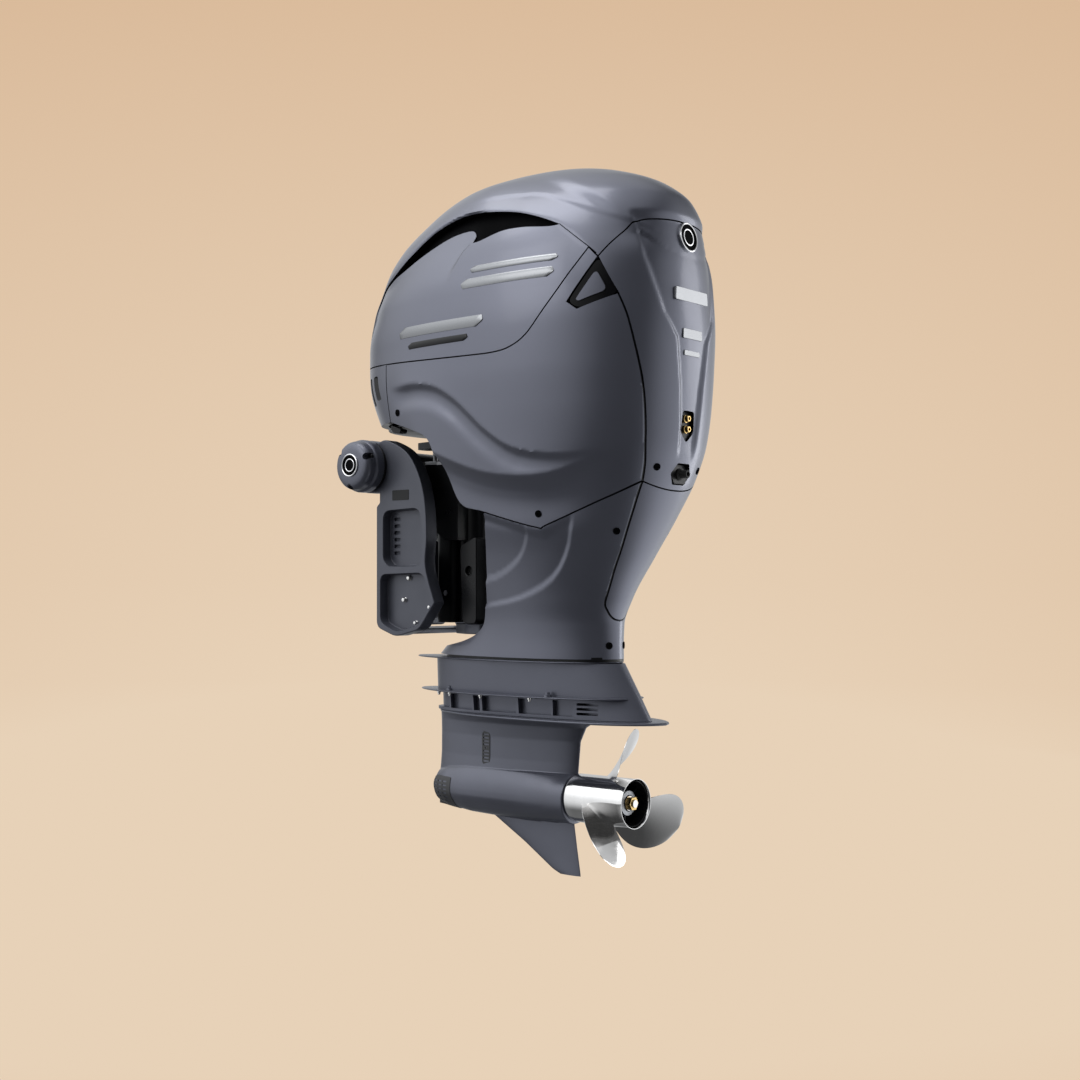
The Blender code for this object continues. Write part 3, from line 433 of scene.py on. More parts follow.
STEEL = principled("stainless_steel", (0.80, 0.79, 0.78), 0.10, 1.0, tint=0.03, rough_range=0.035,
    rough_scale=22.0, bump=0.03, bump_scale=120.0, stretch=(6, 1, 1))
CHROME = principled("chrome", (0.86, 0.86, 0.87), 0.08, 1.0, tint=0.02, rough_range=0.02, bump=0.01)
SATIN = principled("satin_chrome", (0.25, 0.255, 0.265), 0.24, 1.0, tint=0.02, rough_range=0.02,
    bump=0.01)
GLOSS = principled("gloss_black", (0.004, 0.004, 0.005), 0.16, specular=0.2, tint=0.1,
    rough_range=0.02, bump=0.02)
ALLOY = principled("cast_aluminium", (0.42, 0.43, 0.45), 0.45, 0.9, tint=0.12, rough_range=0.10,
    bump=0.35, bump_scale=420.0)
BRASS = principled("brass", (0.72, 0.50, 0.20), 0.24, 1.0, tint=0.10, rough_range=0.06, bump=0.04)
ZINC = principled("zinc", (0.74, 0.75, 0.76), 0.50, 0.7, tint=0.08, rough_range=0.10, bump=0.3,
    bump_scale=260.0)
GEAR = principled("gear_steel", (0.34, 0.34, 0.35), 0.30, 1.0, tint=0.08, rough_range=0.06,
    bump=0.05)
SCREEN = principled("inlet_plastic", (0.045, 0.045, 0.048), 0.5, tint=0.2, rough_range=0.08,
    bump=0.2)

SLOT_LOOK = {
    "paint": PAINT, "case": CASE, "dark": DARK, "black": BLACK, "rubber": RUBBER, "steel": STEEL,
    "alloy": ALLOY, "brass": BRASS, "zinc": ZINC, "gear": GEAR}


# ---------------------------------------------------------------- the skin
TABLE = np.array(SKIN)
MIDDLE = np.array([-0.50] * (len(SKIN) - 1) + [-0.56])


def monotone(xs, ys, x):
    """Cubic interpolation that never overshoots its points."""
    h = np.diff(xs)
    d = np.diff(ys) / h
    slope = np.zeros(len(xs))
    same = d[:-1] * d[1:] > 0
    with np.errstate(divide="ignore", invalid="ignore"):
        mean = 3 * (h[:-1] + h[1:]) / ((2 * h[1:] + h[:-1]) / d[:-1] + (h[1:] + 2 * h[:-1]) / d[1:])
    slope[1:-1] = np.where(same, mean, 0.0)
    slope[0], slope[-1] = d[0], d[-1]
    i = np.clip(np.searchsorted(xs, x) - 1, 0, len(h) - 1)
    t = (x - xs[i]) / h[i]
    return (ys[i] * (2 * t ** 3 - 3 * t ** 2 + 1) + slope[i] * h[i] * (t ** 3 - 2 * t ** 2 + t)
        + ys[i + 1] * (3 * t ** 2 - 2 * t ** 3) + slope[i + 1] * h[i] * (t ** 3 - t ** 2))


def ring_xy(front, rear, half, front_power, rear_power, middle, count):
    """A level of the skin, its points evenly spread along it, from the front round by port."""
    turn = np.linspace(0, 2 * np.pi, 1601)
    c, s = np.cos(turn), np.sin(turn)
    power = np.where(c >= 0, front_power, rear_power)
    reach = np.where(c >= 0, front - middle, middle - rear)
    x = middle + np.sign(c) * np.abs(c) ** (2 / power) * reach
    y = np.sign(s) * np.abs(s) ** (2 / power) * half
    along = np.concatenate([[0], np.cumsum(np.hypot(np.diff(x), np.diff(y)))])
    at = np.linspace(0, along[-1], count + 1)[:-1]
    return np.interp(at, along, x), np.interp(at, along, y)


def side_of(line, x, z):
    """Distance from a line seen from the side, positive below it or behind its upturns."""
    best, sign = np.full(x.shape, 1e9), np.ones(x.shape)
    for (x0, z0), (x1, z1) in zip(line[:-1], line[1:]):
        dx, dz = x1 - x0, z1 - z0
        t = np.clip(((x - x0) * dx + (z - z0) * dz) / (dx * dx + dz * dz), 0, 1)
        ex, ez = x - x0 - t * dx, z - z0 - t * dz
        d = np.hypot(ex, ez)
        near = d < best - 1e-9
        best = np.where(near, d, best)
        sign = np.where(near, np.sign(dx * ez - dz * ex), sign)
    return best * sign


def step(v):
    v = np.clip(v, 0, 1)
    return v * v * (3 - 2 * v)


def crest(d, reach):
    """Rises sharply on the far side of a line and levels off."""
    return 1 - np.exp(-np.maximum(d, 0) / reach)


def ridge(d):
    """One on a line, falling away gently above it and sooner below."""
    return np.where(d < 0, np.exp(np.minimum(d, 0) / 0.045), 1 - step(d / 0.05))


def channel_edge(z):
    """Half width of the channel down the rear cover."""
    return np.interp(z, [0.02, 0.121, 0.245, 0.380, 0.443, 0.527, 0.585, 0.70],
        [0.030, 0.034, 0.045, 0.066, 0.110, 0.136, 0.152, 0.160])


def sink(x, y, z):
    """How deep the styling pushes the skin in at each point."""
    y = np.abs(y)
    lip = side_of(smooth_line(LIP, 3), x, z)
    deep = 0.0045 * step(lip / 0.010 + 0.4) * (1 - step(lip / 0.11)) * step((x + 0.88)
        / 0.10) * step((z - 0.44) / 0.08)
    notch = np.interp(z, [0.580, 0.645, 0.671, 0.688, 0.72],
        [-0.380, -0.413, -0.440, -0.456, -0.470])
    deep += (0.0140 * step((-0.15 - x) / 0.28) * step((z - 0.560) / 0.12)
        * (1 - step((notch - x) / 0.016)) * step(lip / 0.004))
    crease = side_of(smooth_line(ROOF_CREASE, 3), x, z)
    deep += 0.0022 * step(crease / 0.008 + 0.5) * (1 - step(crease / 0.070)) * step((-0.34 - x)
        / 0.2)
    hump = side_of(smooth_line(HUMP, 3), x, z)
    deep += (0.0060 * step(hump / 0.030 + 0.3) * (1 - step((hump - 0.02) / 0.10))
        * step((-0.52 - x) / 0.18) * step((z - 0.570) / 0.09))
    wing = side_of(smooth_line(WING, 3), x, z)
    window = step((-0.130 - x) / 0.10) * step((x + 0.90) / 0.30)
    deep += (0.0150 * crest(wing, 0.012) * (1 - step((wing - 0.012) / 0.065)) - 0.0050
        * ridge(wing)) * window
    wave = side_of(smooth_line(WAVE, 3), x, z)
    window = step((-0.20 - x) / 0.08) * step((x + 0.92) / 0.25) * step((z + 0.13) / 0.03)
    deep += (0.0175 * crest(wave, 0.026) * (1 - step((wave - 0.065) / 0.10)) - 0.0065
        * ridge(wave)) * window
    rear = step((-0.80 - x) / 0.05) * step((0.715 - z) / 0.03) * step((z - 0.060) / 0.06)
    deep += 0.0080 * step((channel_edge(z) + 0.008 - y) / 0.014) * rear
    low = (z < -0.03) & (z > -0.42)
    inner = side_of(smooth_line(DISH_IN, 3), x, z)
    outer = side_of(smooth_line(DISH_OUT, 3), x, z)
    fade = step((side_of(smooth_line(LOWER_EDGE, 3), x, z) - 0.001) / 0.030)
    deep += (0.0060 * step(-inner / 0.008) + 0.0060 * step(-outer / 0.012)) * low * fade
    swell = 0.0090 * step((z - 0.56) / 0.12) * (1 - step((z - 0.835) / 0.045)) * step((x + 0.60)
        / 0.18)
    return np.minimum(deep, DEEPEST) - swell * (1 - step((lip - 0.004) / 0.03))


def skin_shape(inset, rows, columns, styled):
    """The skin as one closed solid, moved inwards by inset, with or without its styling."""
    level = np.linspace(0, len(SKIN) - 1, rows)
    z = monotone(np.arange(len(SKIN), dtype=float), TABLE[:, 0], level)
    cols = [monotone(TABLE[:, 0], TABLE[:, k], z) for k
        in range(1, 6)] + [monotone(TABLE[:, 0], MIDDLE, z)]
    grid = np.zeros((rows, columns, 3))
    for r in range(rows):
        front, rear, half, fp, rp, middle = (c[r] for c in cols)
        x, y = ring_xy(front - inset, rear + inset, half * SLIM - inset, fp, rp, middle, columns)
        grid[r, :, 0], grid[r, :, 1], grid[r, :, 2] = x, y, z[r]
    if styled:
        across = np.roll(grid, -1, 1) - np.roll(grid, 1, 1)
        up = np.gradient(grid, axis=0)
        normal = np.cross(across, up)
        normal /= np.maximum(np.linalg.norm(normal, axis=2, keepdims=True), 1e-9)
        grid -= normal * sink(grid[..., 0], grid[..., 1], grid[..., 2])[..., None]
    grid[..., 1] = np.clip(grid[..., 1], -HALF_WIDTH, HALF_WIDTH)
    grid[..., 2] -= inset * step((grid[..., 2] - 0.70) / 0.15)
    rings = list(grid)
    centre = rings[-1].mean(0)
    for k, share in enumerate((0.75, 0.5, 0.25)):
        rings.append(centre + (grid[-1] - centre) * share)
    floor = rings[0].copy()
    floor[:, 2] -= 0.03
    return loft([floor, *rings])


FULL = made("skin_full", skin_shape(0.0002, 270, 420, True))
INSIDE = made("skin_inside", skin_shape(WALL, 74, 120, False))
UNDER = made("skin_under", skin_shape(0.0040, 74, 160, False))
HELPERS = [FULL, INSIDE, UNDER]
BVH = BVHTree.FromPolygons([v.co for v in FULL.data.vertices],
    [p.vertices for p in FULL.data.polygons])


def copy_of(obj, name):
    twin = linked(name, obj.data.copy())
    twin.data.materials.clear()
    return twin


def paint_and_shade_edges(obj):
    """Paints what lies on the outer skin, and leaves edges and insides black, which is painted
    shade in the seams and on the scoops' walls.
    """
    obj.data.materials.clear()
    obj.data.materials.append(PAINT)
    obj.data.materials.append(BLACK)
    kinds = []
    for face in obj.data.polygons:
        hit = BVH.find_nearest(face.center)
        near = hit[3] < SKIN_REACH and hit[1].dot(face.normal) > 0.25
        kinds.append(0 if near else 1)
    obj.data.polygons.foreach_set("material_index", kinds)


def panel(name, outline, body, replaces, side=(-0.5, 0.5), cuts=()):
    """A painted piece of the skin inside an outline seen from the side."""
    obj = copy_of(FULL, name)
    keep(obj, shrunk(outline, SEAM), side)
    cut(obj, INSIDE, *cuts)
    paint_and_shade_edges(obj)
    return place_piece(obj, body, "paint", replaces, 38, coated=False)


SEAM_TOP = smooth_line(COWL_SEAM)
SEAM_REAR = smooth_line(REAR_SEAM)
EDGE_LOW = smooth_line(LOWER_EDGE)
TAIL = smooth_line(TAIL_SEAM[:-1]) + TAIL_SEAM[-1:]
FOOT = smooth_line(REAR_FOOT[:2]) + REAR_FOOT[2:]
ROOF = [ROOF_REAR[0], *rounded(ROOF_REAR, 0.02)[6:12], ROOF_REAR[2]]
CORNER = rounded(INSERT, 0.018)
CROWN = SEAM_TOP + ROOF + [(-1.10, 1.0), (0.20, 1.0)]
HULL_CUT = smooth_line(LIP[:10], 5) + smooth_line(SCOOP_FLOOR[:7],
    5)[1:] + smooth_line(SCOOP_FLOOR[6:], 5)[1:-1]


def both_sides(make):
    for name, sign in (("port", 1), ("starboard", -1)):
        make(name, sign)


def cowl():
    scoops = [prism(HULL_CUT, "Y", *wide(s, 0.10, 0.5)) for s in (1, -1)]
    panel("top_cowl_skin", CROWN, "top_cowl", ["top_cowl"], cuts=scoops)
    front = [(-0.125, 0.3716)] + [p for p in SEAM_TOP if p[0] < -0.125]
    lower = front + [INSERT[0], *smooth_line(INSERT[1:3], 1),
        INSERT[3]] + SEAM_REAR[1:] + EDGE_LOW[::-1][1:]

    def sides(name, sign):
        span = sorted((0.0, sign * 0.5))
        panel(f"lower_cowl_skin_{name}", lower, "engine", [f"lower_cowl_{name}"], span)
        base = copy_of(UNDER, f"insert_tray_{name}")
        keep(base, shrunk(CORNER, SEAM * 0.4), span)
        cut(base, INSIDE)
        place_piece(base, "engine", "black", [f"side_insert_{name}"], material=GLOSS)
        cap = copy_of(FULL, f"insert_cap_{name}")
        keep(cap, rounded(shrunk(INSERT, 0.0165), 0.016), span)
        cut(cap, INSIDE)
        paint_and_shade_edges(cap)
        place_piece(cap, "engine", "paint", coated=False)
        apron = ([(x, z) for x, z in EDGE_LOW if x < -0.456] + TAIL[1:]
            + [(-1.10, -0.467), (-0.05, -0.467)] + smooth_line(APRON_FRONT)[::-1])
        half = wide(sign, 0.0003, 0.5)
        panel(f"apron_skin_{name}", apron, "engine", [f"apron_{name}"], half)
    both_sides(sides)
    cover = [(-0.125, 0.205), (-0.125, 0.3716)] + [p for p in SEAM_TOP
        if p[0] > -0.125][::-1] + [(0.200, 0.205)]
    window = prism(rounded([(-0.046, 0.266), (0.046, 0.266), (0.046, 0.338), (-0.046, 0.338)],
        0.006), "X", 0.05, 0.15)
    slots = []
    for s in (1, -1):
        for k in range(2):
            y = s * (0.215 + 0.028 * k)
            slots.append(prism(rounded([(y - 0.008, 0.262 + 0.012 * k),
                (y + 0.008, 0.262 + 0.012 * k), (y + 0.008, 0.345), (y - 0.008, 0.345)], 0.007),
                "X", -0.10, 0.10))
    panel("front_cover_skin", cover, "engine", ["front_cover"], cuts=[window, *slots])
    shield = rounded([(0.026, 0.196), (0.030, 0.140), (0.0, 0.112), (-0.030, 0.140),
        (-0.026, 0.196)], 0.010)
    hexagon = rounded([(0.044, 0.030), (0.026, 0.058), (-0.026, 0.058), (-0.044, 0.030),
        (-0.026, 0.002), (0.026, 0.002)], 0.004)
    rear = [ROOF_REAR[0], INSERT[3]] + SEAM_REAR[1:-1] + FOOT + ROOF[::-1][:-1]
    panel("rear_cover_skin", rear, "engine", ["rear_cover"], cuts=[prism(shield, "X", -1.05, -0.90),
        prism(hexagon, "X", -1.05, -0.90)])
    panel("rear_lower_cover_skin", TAIL + FOOT[::-1][:-1], "engine", ["rear_lower_cover"])


# A near-black sheet just inside the skin, seen through the scoops and the seams: painted shade for
# the dark inside of the cowl.
def shade_sheet(name, outline, body, outer, inner):
    obj = made(name, skin_shape(outer, 60, 96, False))
    keep(obj, outline)
    cut(obj, skin_shape(inner, 60, 96, False))
    place_piece(obj, body, "black", material=DEEP_BLACK_AND_SHADE)


def shade_sheets():
    shade_sheet("top_cowl_shade_sheet", shrunk(CROWN, 0.002), "top_cowl", 0.0205, 0.0230)
    up = [(x, z + 0.012) for x, z in SEAM_TOP]
    shade_sheet("engine_shade_sheet", up + [(-0.862, 0.60), (-0.93, 0.69), (-1.10, 0.72), (-1.10, -0.465),
        (-0.25, -0.465), (-0.345, -0.395), (-0.375, -0.33), (-0.405, -0.20), (-0.45, -0.07),
        (-0.37, -0.025), (-0.33, 0.075), (-0.30, 0.145), (-0.25, 0.172), (-0.12, 0.209),
        (0.20, 0.209)], "engine", 0.0240, 0.0265)


cowl()
shade_sheets()


# ---------------------------------------------------------------- trim on the cowl
def skin_hit(x, z, side):
    """The point and normal of the styled skin at a place seen from the side."""
    hit = BVH.ray_cast(Vector((x, side * 0.6, z)), Vector((0, -side, 0)))
    return hit[0], hit[1]


def screw(place, normal, radius=0.0098):
    """A recessed black screw: a rim, a dished head and a socket."""
    rim = [(radius, -0.004), (radius, 0.0020), (radius * 0.86, 0.0026), (radius * 0.80, 0.0012),
        (radius * 0.62, 0.0014), (radius * 0.46, 0.0022)]
    socket = [(radius * 0.40, 0.0022), (radius * 0.36, 0.0008)]
    return aimed(lathe(rim + socket, "Z", (0, 0, 0), 36), place, normal)


def trim_bar(name, ends, levels, lean, sign, material=None):
    """A thin polished strip that follows the skin, with leaning and rounded ends."""
    (front, rear), (low, high) = ends, levels
    profile = [(0.0, -0.003), (0.0, 0.4), (0.10, 0.85), (0.5, 1.0), (0.90, 0.85), (1.0, 0.4),
        (1.0, -0.003)]
    rings, stations = [], 30
    for i in range(stations):
        along = i / (stations - 1)
        narrow = 0.5 - 0.5 * math.sqrt(max(1 - max(1 - min(along, 1 - along) / 0.035, 0) ** 2,
            0.05))
        ring = []
        for across, lift in profile:
            share = narrow + (1 - 2 * narrow) * across
            point, normal = skin_hit(front + (rear - front) * along - lean * share,
                low + (high - low) * share, sign)
            ring.append(tuple(point + normal * (lift * TRIM_RISE if lift > 0 else lift)))
        rings.append(ring)
    return piece(name, loft(rings), "top_cowl", "steel", angle=50, material=material or SATIN)


def lip_crease_shade(name, sign):
    """A black strip along the lip between the scoop's rear tip and the seam: painted shade of the
    crease there.
    """
    line = smooth_line(LIP[9:], 8)[:-4]
    rings = []
    for (x, z), (x1, z1) in zip(line[:-1], line[1:]):
        across = Vector((z1 - z, x - x1)).normalized() * 0.0011
        ring = []
        for share, lift in ((-1, -0.002), (-1, 0.0004), (1, 0.0004), (1, -0.002)):
            point, normal = skin_hit(x + across.x * share, z + across.y * share, sign)
            ring.append(tuple(point + normal * lift))
        rings.append(ring)
    piece(f"lip_crease_shade_{name}", loft(rings), "top_cowl", "black", material=DEEP_BLACK_AND_SHADE)


def medallion(name, place, direction, radius, body):
    """A plain round badge: a polished rim, a dark dish and one plain ring."""
    rim = [(radius * 0.98, -0.006), (radius, -0.002), (radius * 0.985, 0.0022),
        (radius * 0.93, 0.0030), (radius * 0.88, 0.0022), (radius * 0.87, -0.001),
        (radius * 0.87, -0.006)]
    ring = [(radius * 0.58, -0.0012), (radius * 0.57, 0.0012), (radius * 0.53, 0.0016),
        (radius * 0.49, 0.0012), (radius * 0.48, -0.0012)]
    shape = joined([aimed(lathe(rim, "Z", (0, 0, 0), 72, True), place, direction),
        aimed(lathe(ring, "Z", (0, 0, 0), 72, True), place, direction)])
    piece(f"{name}_rims", shape, body, "steel", material=CHROME)
    dish = [(radius * 0.875, -0.006), (radius * 0.875, -0.0005), (radius * 0.6, -0.0010),
        (radius * 0.2, 0.0), (radius * 0.02, 0.0004)]
    piece(f"{name}_dish", aimed(lathe(dish, "Z", (0, 0, 0), 72), place, direction), body, "black",
        material=DEEP_BLACK_AND_SHADE)


def cowl_trim():
    def sides(name, sign):
        trim_bar(f"side_bar_{name}", (-0.440, -0.745), (0.540, 0.566), 0.012, sign)
        trim_bar(f"side_bar_upper_{name}", (-0.470, -0.752), (0.582, 0.600), 0.010, sign)
        trim_bar(f"lower_bar_{name}", (-0.190, -0.520), (0.432, 0.462), 0.020, sign)
        trim_bar(f"lower_bar_dark_{name}", (-0.235, -0.470), (0.398, 0.416), 0.012, sign, BLACK)
        heads = []
        for x, z in ((-0.173, 0.228), (-0.642, -0.072), (-0.747, -0.428), (-0.835, -0.120),
                (-0.790, -0.300), (-0.950, 0.045)):
            point, normal = skin_hit(x, z, sign)
            if point:
                heads.append(screw(point, normal))
        piece(f"cover_screws_{name}", joined(heads), "engine", "black", material=DEEP_BLACK_AND_SHADE)
        clip = rounded([(-0.135, 0.196), (-0.175, 0.182), (-0.172, 0.172), (-0.150, 0.172),
            (-0.138, 0.180)], 0.004)
        hook = made(f"front_clip_{name}", prism(clip, "Y", *wide(sign, 0.235, 0.262)))
        place_piece(bevelled(hook, 0.0015), "engine", "black")
    both_sides(sides)
    both_sides(lip_crease_shade)
    bars = []
    for z, height, half in ((0.4975, 0.034, 0.074), (0.396, 0.026, 0.044), (0.346, 0.014, 0.036)):
        at = skin_rear(z) + 0.0015
        bars.append(bar_block(at, z, height, half))
    obj = made("rear_bars", joined(bars))
    place_piece(bevelled(obj, 0.0012, 2), "engine", "steel", material=SATIN)
    at = skin_rear(0.654)
    medallion("rear_medallion", (at - 0.0035, 0, 0.654), (-1, 0, 0.12), 0.040, "engine")


def skin_rear(z):
    """X of the styled skin on the centreline at the rear."""
    return BVH.ray_cast(Vector((-1.4, 0.0, z)), Vector((1, 0, 0)))[0].x


def bar_block(x, z, height, half):
    plan = rounded([(-half, z - height / 2), (half, z - height / 2), (half * 0.96, z + height / 2),
        (-half * 0.96, z + height / 2)], 0.004)
    return prism(plan, "X", x - 0.0035, x + 0.006)


def rear_fittings():
    cup = rounded([(0.024, 0.194), (0.028, 0.141), (0.0, 0.115), (-0.028, 0.141), (-0.024, 0.194)],
        0.010)
    base = made("flush_recess", prism(cup, "X", -0.972, -0.962))
    place_piece(base, "engine", "black")
    pins = []
    for z in (0.176, 0.148):
        pins.append(lathe([(0.0105, -0.972), (0.0105, -0.978), (0.0085, -0.979), (0.0085, -0.986),
            (0.0070, -0.988), (0.0045, -0.988), (0.0045, -0.974)], "X", (0, 0, z), 40))
    piece("flush_ports", joined(pins), "engine", "brass", ["flush_fitting"])
    hexagon = rounded([(0.041, 0.030), (0.024, 0.055), (-0.024, 0.055), (-0.041, 0.030),
        (-0.024, 0.005), (0.024, 0.005)], 0.004)
    piece("outlet_recess", prism(hexagon, "X", -0.956, -0.940), "engine", "black")
    spout = [(0.0160, -0.950), (0.0160, -0.959), (0.0120, -0.963), (0.0105, -0.972),
        (0.0110, -0.982), (0.0095, -0.984), (0.0065, -0.984), (0.0060, -0.950)]
    piece("outlet_nozzle", lathe(spout, "X", (0, 0, 0.030), 48, True), "engine", "black",
        ["water_outlet"], material=RUBBER)


# ---------------------------------------------------------------- lower unit
STRUT = np.array([(-0.6305, -0.0915, -0.712, 0.074), (-0.640, -0.0915, -0.676, 0.066),
    (-0.660, -0.0915, -0.642, 0.056), (-0.700, -0.0915, -0.622, 0.050),
    (-0.760, -0.0910, -0.616, 0.050), (-0.800, -0.088, -0.612, 0.054),
    (-0.856, -0.080, -0.610, 0.058), (-0.930, -0.080, -0.610, 0.050)])
TORPEDO = np.array([(-0.6095, 0.0), (-0.6092, 0.066), (-0.6070, 0.0700), (-0.480, 0.074),
    (-0.330, 0.074), (-0.230, 0.071), (-0.150, 0.063), (-0.104, 0.050), (-0.082, 0.030),
    (-0.0765, 0.012), (-0.0755, 0.0)])
SKEG = np.array([(-0.880, -0.120, -0.603, 0.013), (-0.934, -0.300, -0.600, 0.010),
    (-1.000, -0.418, -0.610, 0.0080), (-1.066, -0.522, -0.621, 0.006),
    (-1.0765, -0.548, -0.622, 0.005)])
TORPEDO_Z = -0.860


def down(table, z, column):
    return np.interp(-z, -table[:, 0], table[:, column])


def oval_half(x, front, rear, half, front_power, rear_power):
    middle = (front + rear) / 2
    reach = np.maximum((front - rear) / 2, 1e-6)
    u = np.clip(np.abs(x - middle) / reach, 0, 1)
    power = np.where(x >= middle, front_power, rear_power)
    return half * np.maximum(1 - u ** power, 0) ** (1 / power)


def gearcase_shape(grow=0.0, columns=110):
    """Strut, torpedo and skeg as one half-width over their side view, run together with fillets."""
    zs = np.concatenate([np.linspace(-0.6305, -0.770, 40)[:-1],
        np.linspace(-0.770, -0.950, 100)[:-1], np.linspace(-0.950, -1.0765, 30)])
    radius_at = TORPEDO[:, 1] + grow
    rings = []
    fine = np.linspace(-0.6095, -0.0755 + grow, 2500)
    fine_r = np.interp(fine, TORPEDO[:, 0], radius_at)
    for z in zs:
        parts, fronts, rears = [], [], []
        drop = abs(z - TORPEDO_Z)
        if z > -0.930:
            fade = 1 - step((-0.870 - z) / 0.055)
            front, rear = down(STRUT, z, 1) + grow, down(STRUT, z, 2) - grow
            parts.append(("strut", front, rear, (down(STRUT, z, 3) + grow) * fade))
            if fade > 0.02:
                fronts.append(front)
                rears.append(rear)
        inside = fine[fine_r > drop]
        if len(inside) > 2:
            fronts.append(inside[-1])
            rears.append(inside[0])
        if z < -0.880:
            front, rear = down(SKEG, z, 1) + grow, down(SKEG, z, 2) - grow
            parts.append(("skeg", front, rear, down(SKEG, z, 3) + grow))
            fronts.append(front)
            rears.append(rear)
        front, rear = max(fronts), min(rears)
        x = rear + (front - rear) * (1 - np.cos(np.pi * np.linspace(0, 1, columns))) / 2
        y = np.zeros(columns)
        for kind, f, r, half in parts:
            powers = (2.0, 1.7) if kind == "strut" else (1.8, 1.6)
            y = blended(y, oval_half(x, f, r, half, *powers))
        round_r = np.interp(x, TORPEDO[:, 0], radius_at, left=0, right=0)
        y = blended(y, np.sqrt(np.maximum(round_r ** 2 - drop ** 2, 0)))
        y[0] = y[-1] = 0.0002
        port = np.stack([x[::-1], y[::-1], np.full(columns, z)], 1)
        star = np.stack([x, -y, np.full(columns, z)], 1)
        rings.append(np.concatenate([port, star]))
    return loft(rings)


def blended(a, b):
    """The larger of two half-widths, with a fillet where they meet."""
    width = np.minimum(FILLET, 1.4 * np.maximum(np.minimum(a, b), 1e-4))
    near = np.maximum(width - np.abs(a - b), 0)
    return np.maximum(a, b) + near * near / (4 * width)


def leaf(outline, z, thick, lip=0.006, rows=4):
    """A thin plate whose rim is rounded to an edge."""
    rings = []
    for i in range(2 * rows + 1):
        a = math.pi * (i / (2 * rows) - 0.5)
        rings.append([(x, y, z + thick / 2 * math.sin(a)) for x,
            y in shrunk(outline, lip * (1 - math.cos(a)) + 1e-5)])
    return loft(rings)


def oval(front, rear, half, front_power, rear_power, middle, count=160):
    x, y = ring_xy(front, rear, half, front_power, rear_power, middle, count)
    return [(float(a), float(b)) for a, b in zip(x, y)]


def shaft_bore(radius=0.022):
    """Room for the driveshaft through whatever stands round it."""
    return rod("Z", (DRIVE_X, 0, 0), radius, -0.800, 0.400)


def lower_unit():
    case = made("gearcase_casting", gearcase_shape())
    nose = rounded([(-0.060, -0.846), (-0.120, -0.826), (-0.186, -0.828), (-0.186, -0.925),
        (-0.060, -0.925)], 0.004)
    plate = [(-0.915, 0.0), (-0.895, 0.040), (-0.840, 0.086), (-0.760, 0.118), (-0.640, 0.133),
        (-0.520, 0.136), (-0.400, 0.131), (-0.300, 0.118), (-0.200, 0.085), (-0.120, 0.040),
        (-0.092, 0.0)]
    half = smooth_line(plate, 5)
    outline = half + [(x, -y) for x, y in half[::-1]][1:-1]
    place_piece(case, "engine", "case", ["gearcase"], 40)
    vent = cut(made("ventilation_plate", leaf(outline, VENT_PLATE_Z, 0.0075, 0.005)), shaft_bore())
    place_piece(vent, "engine", "case")

    grow, under = made("grille_over", gearcase_shape(0.0014)), made("grille_under",
        gearcase_shape(-0.003))
    keep(grow, nose, (-0.2, 0.2))
    slits = []
    for i in range(6):
        z = -0.842 - 0.0115 * i
        for x in (-0.112, -0.136, -0.160):
            slits.append(prism(pad((x + 0.009, x - 0.009), (z - 0.0022, z + 0.0022), 0.002, 3), "Y",
                -0.2, 0.2))
    cut(grow, under, joined(slits))
    bpy.data.objects.remove(under)
    grow.name = "nose_grille"
    place_piece(grow, "engine", "black", material=SCREEN)

    def inlet(name, sign):
        frame_line = pad((-0.297, -0.327), (-0.685, -0.783), 0.015, 8)
        obj = made(f"side_grille_{name}", prism(frame_line, "Y", *wide(sign, 0.036, 0.0512)))
        holes = []
        for i in range(9):
            z = -0.695 - 0.0096 * i
            if i == 4:
                holes.append(rod("Y", (-0.312, 0, z), 0.0028, *wide(sign, 0.0465, 0.06), 16))
                continue
            holes.append(prism(pad((-0.301, -0.323), (z - 0.0022, z + 0.0022), 0.0018, 3), "Y",
                *wide(sign, 0.0455, 0.06)))
        cut(obj, joined(holes))
        place_piece(obj, "engine", "black", [f"side_inlet_{name}"], material=SCREEN)
    both_sides(inlet)


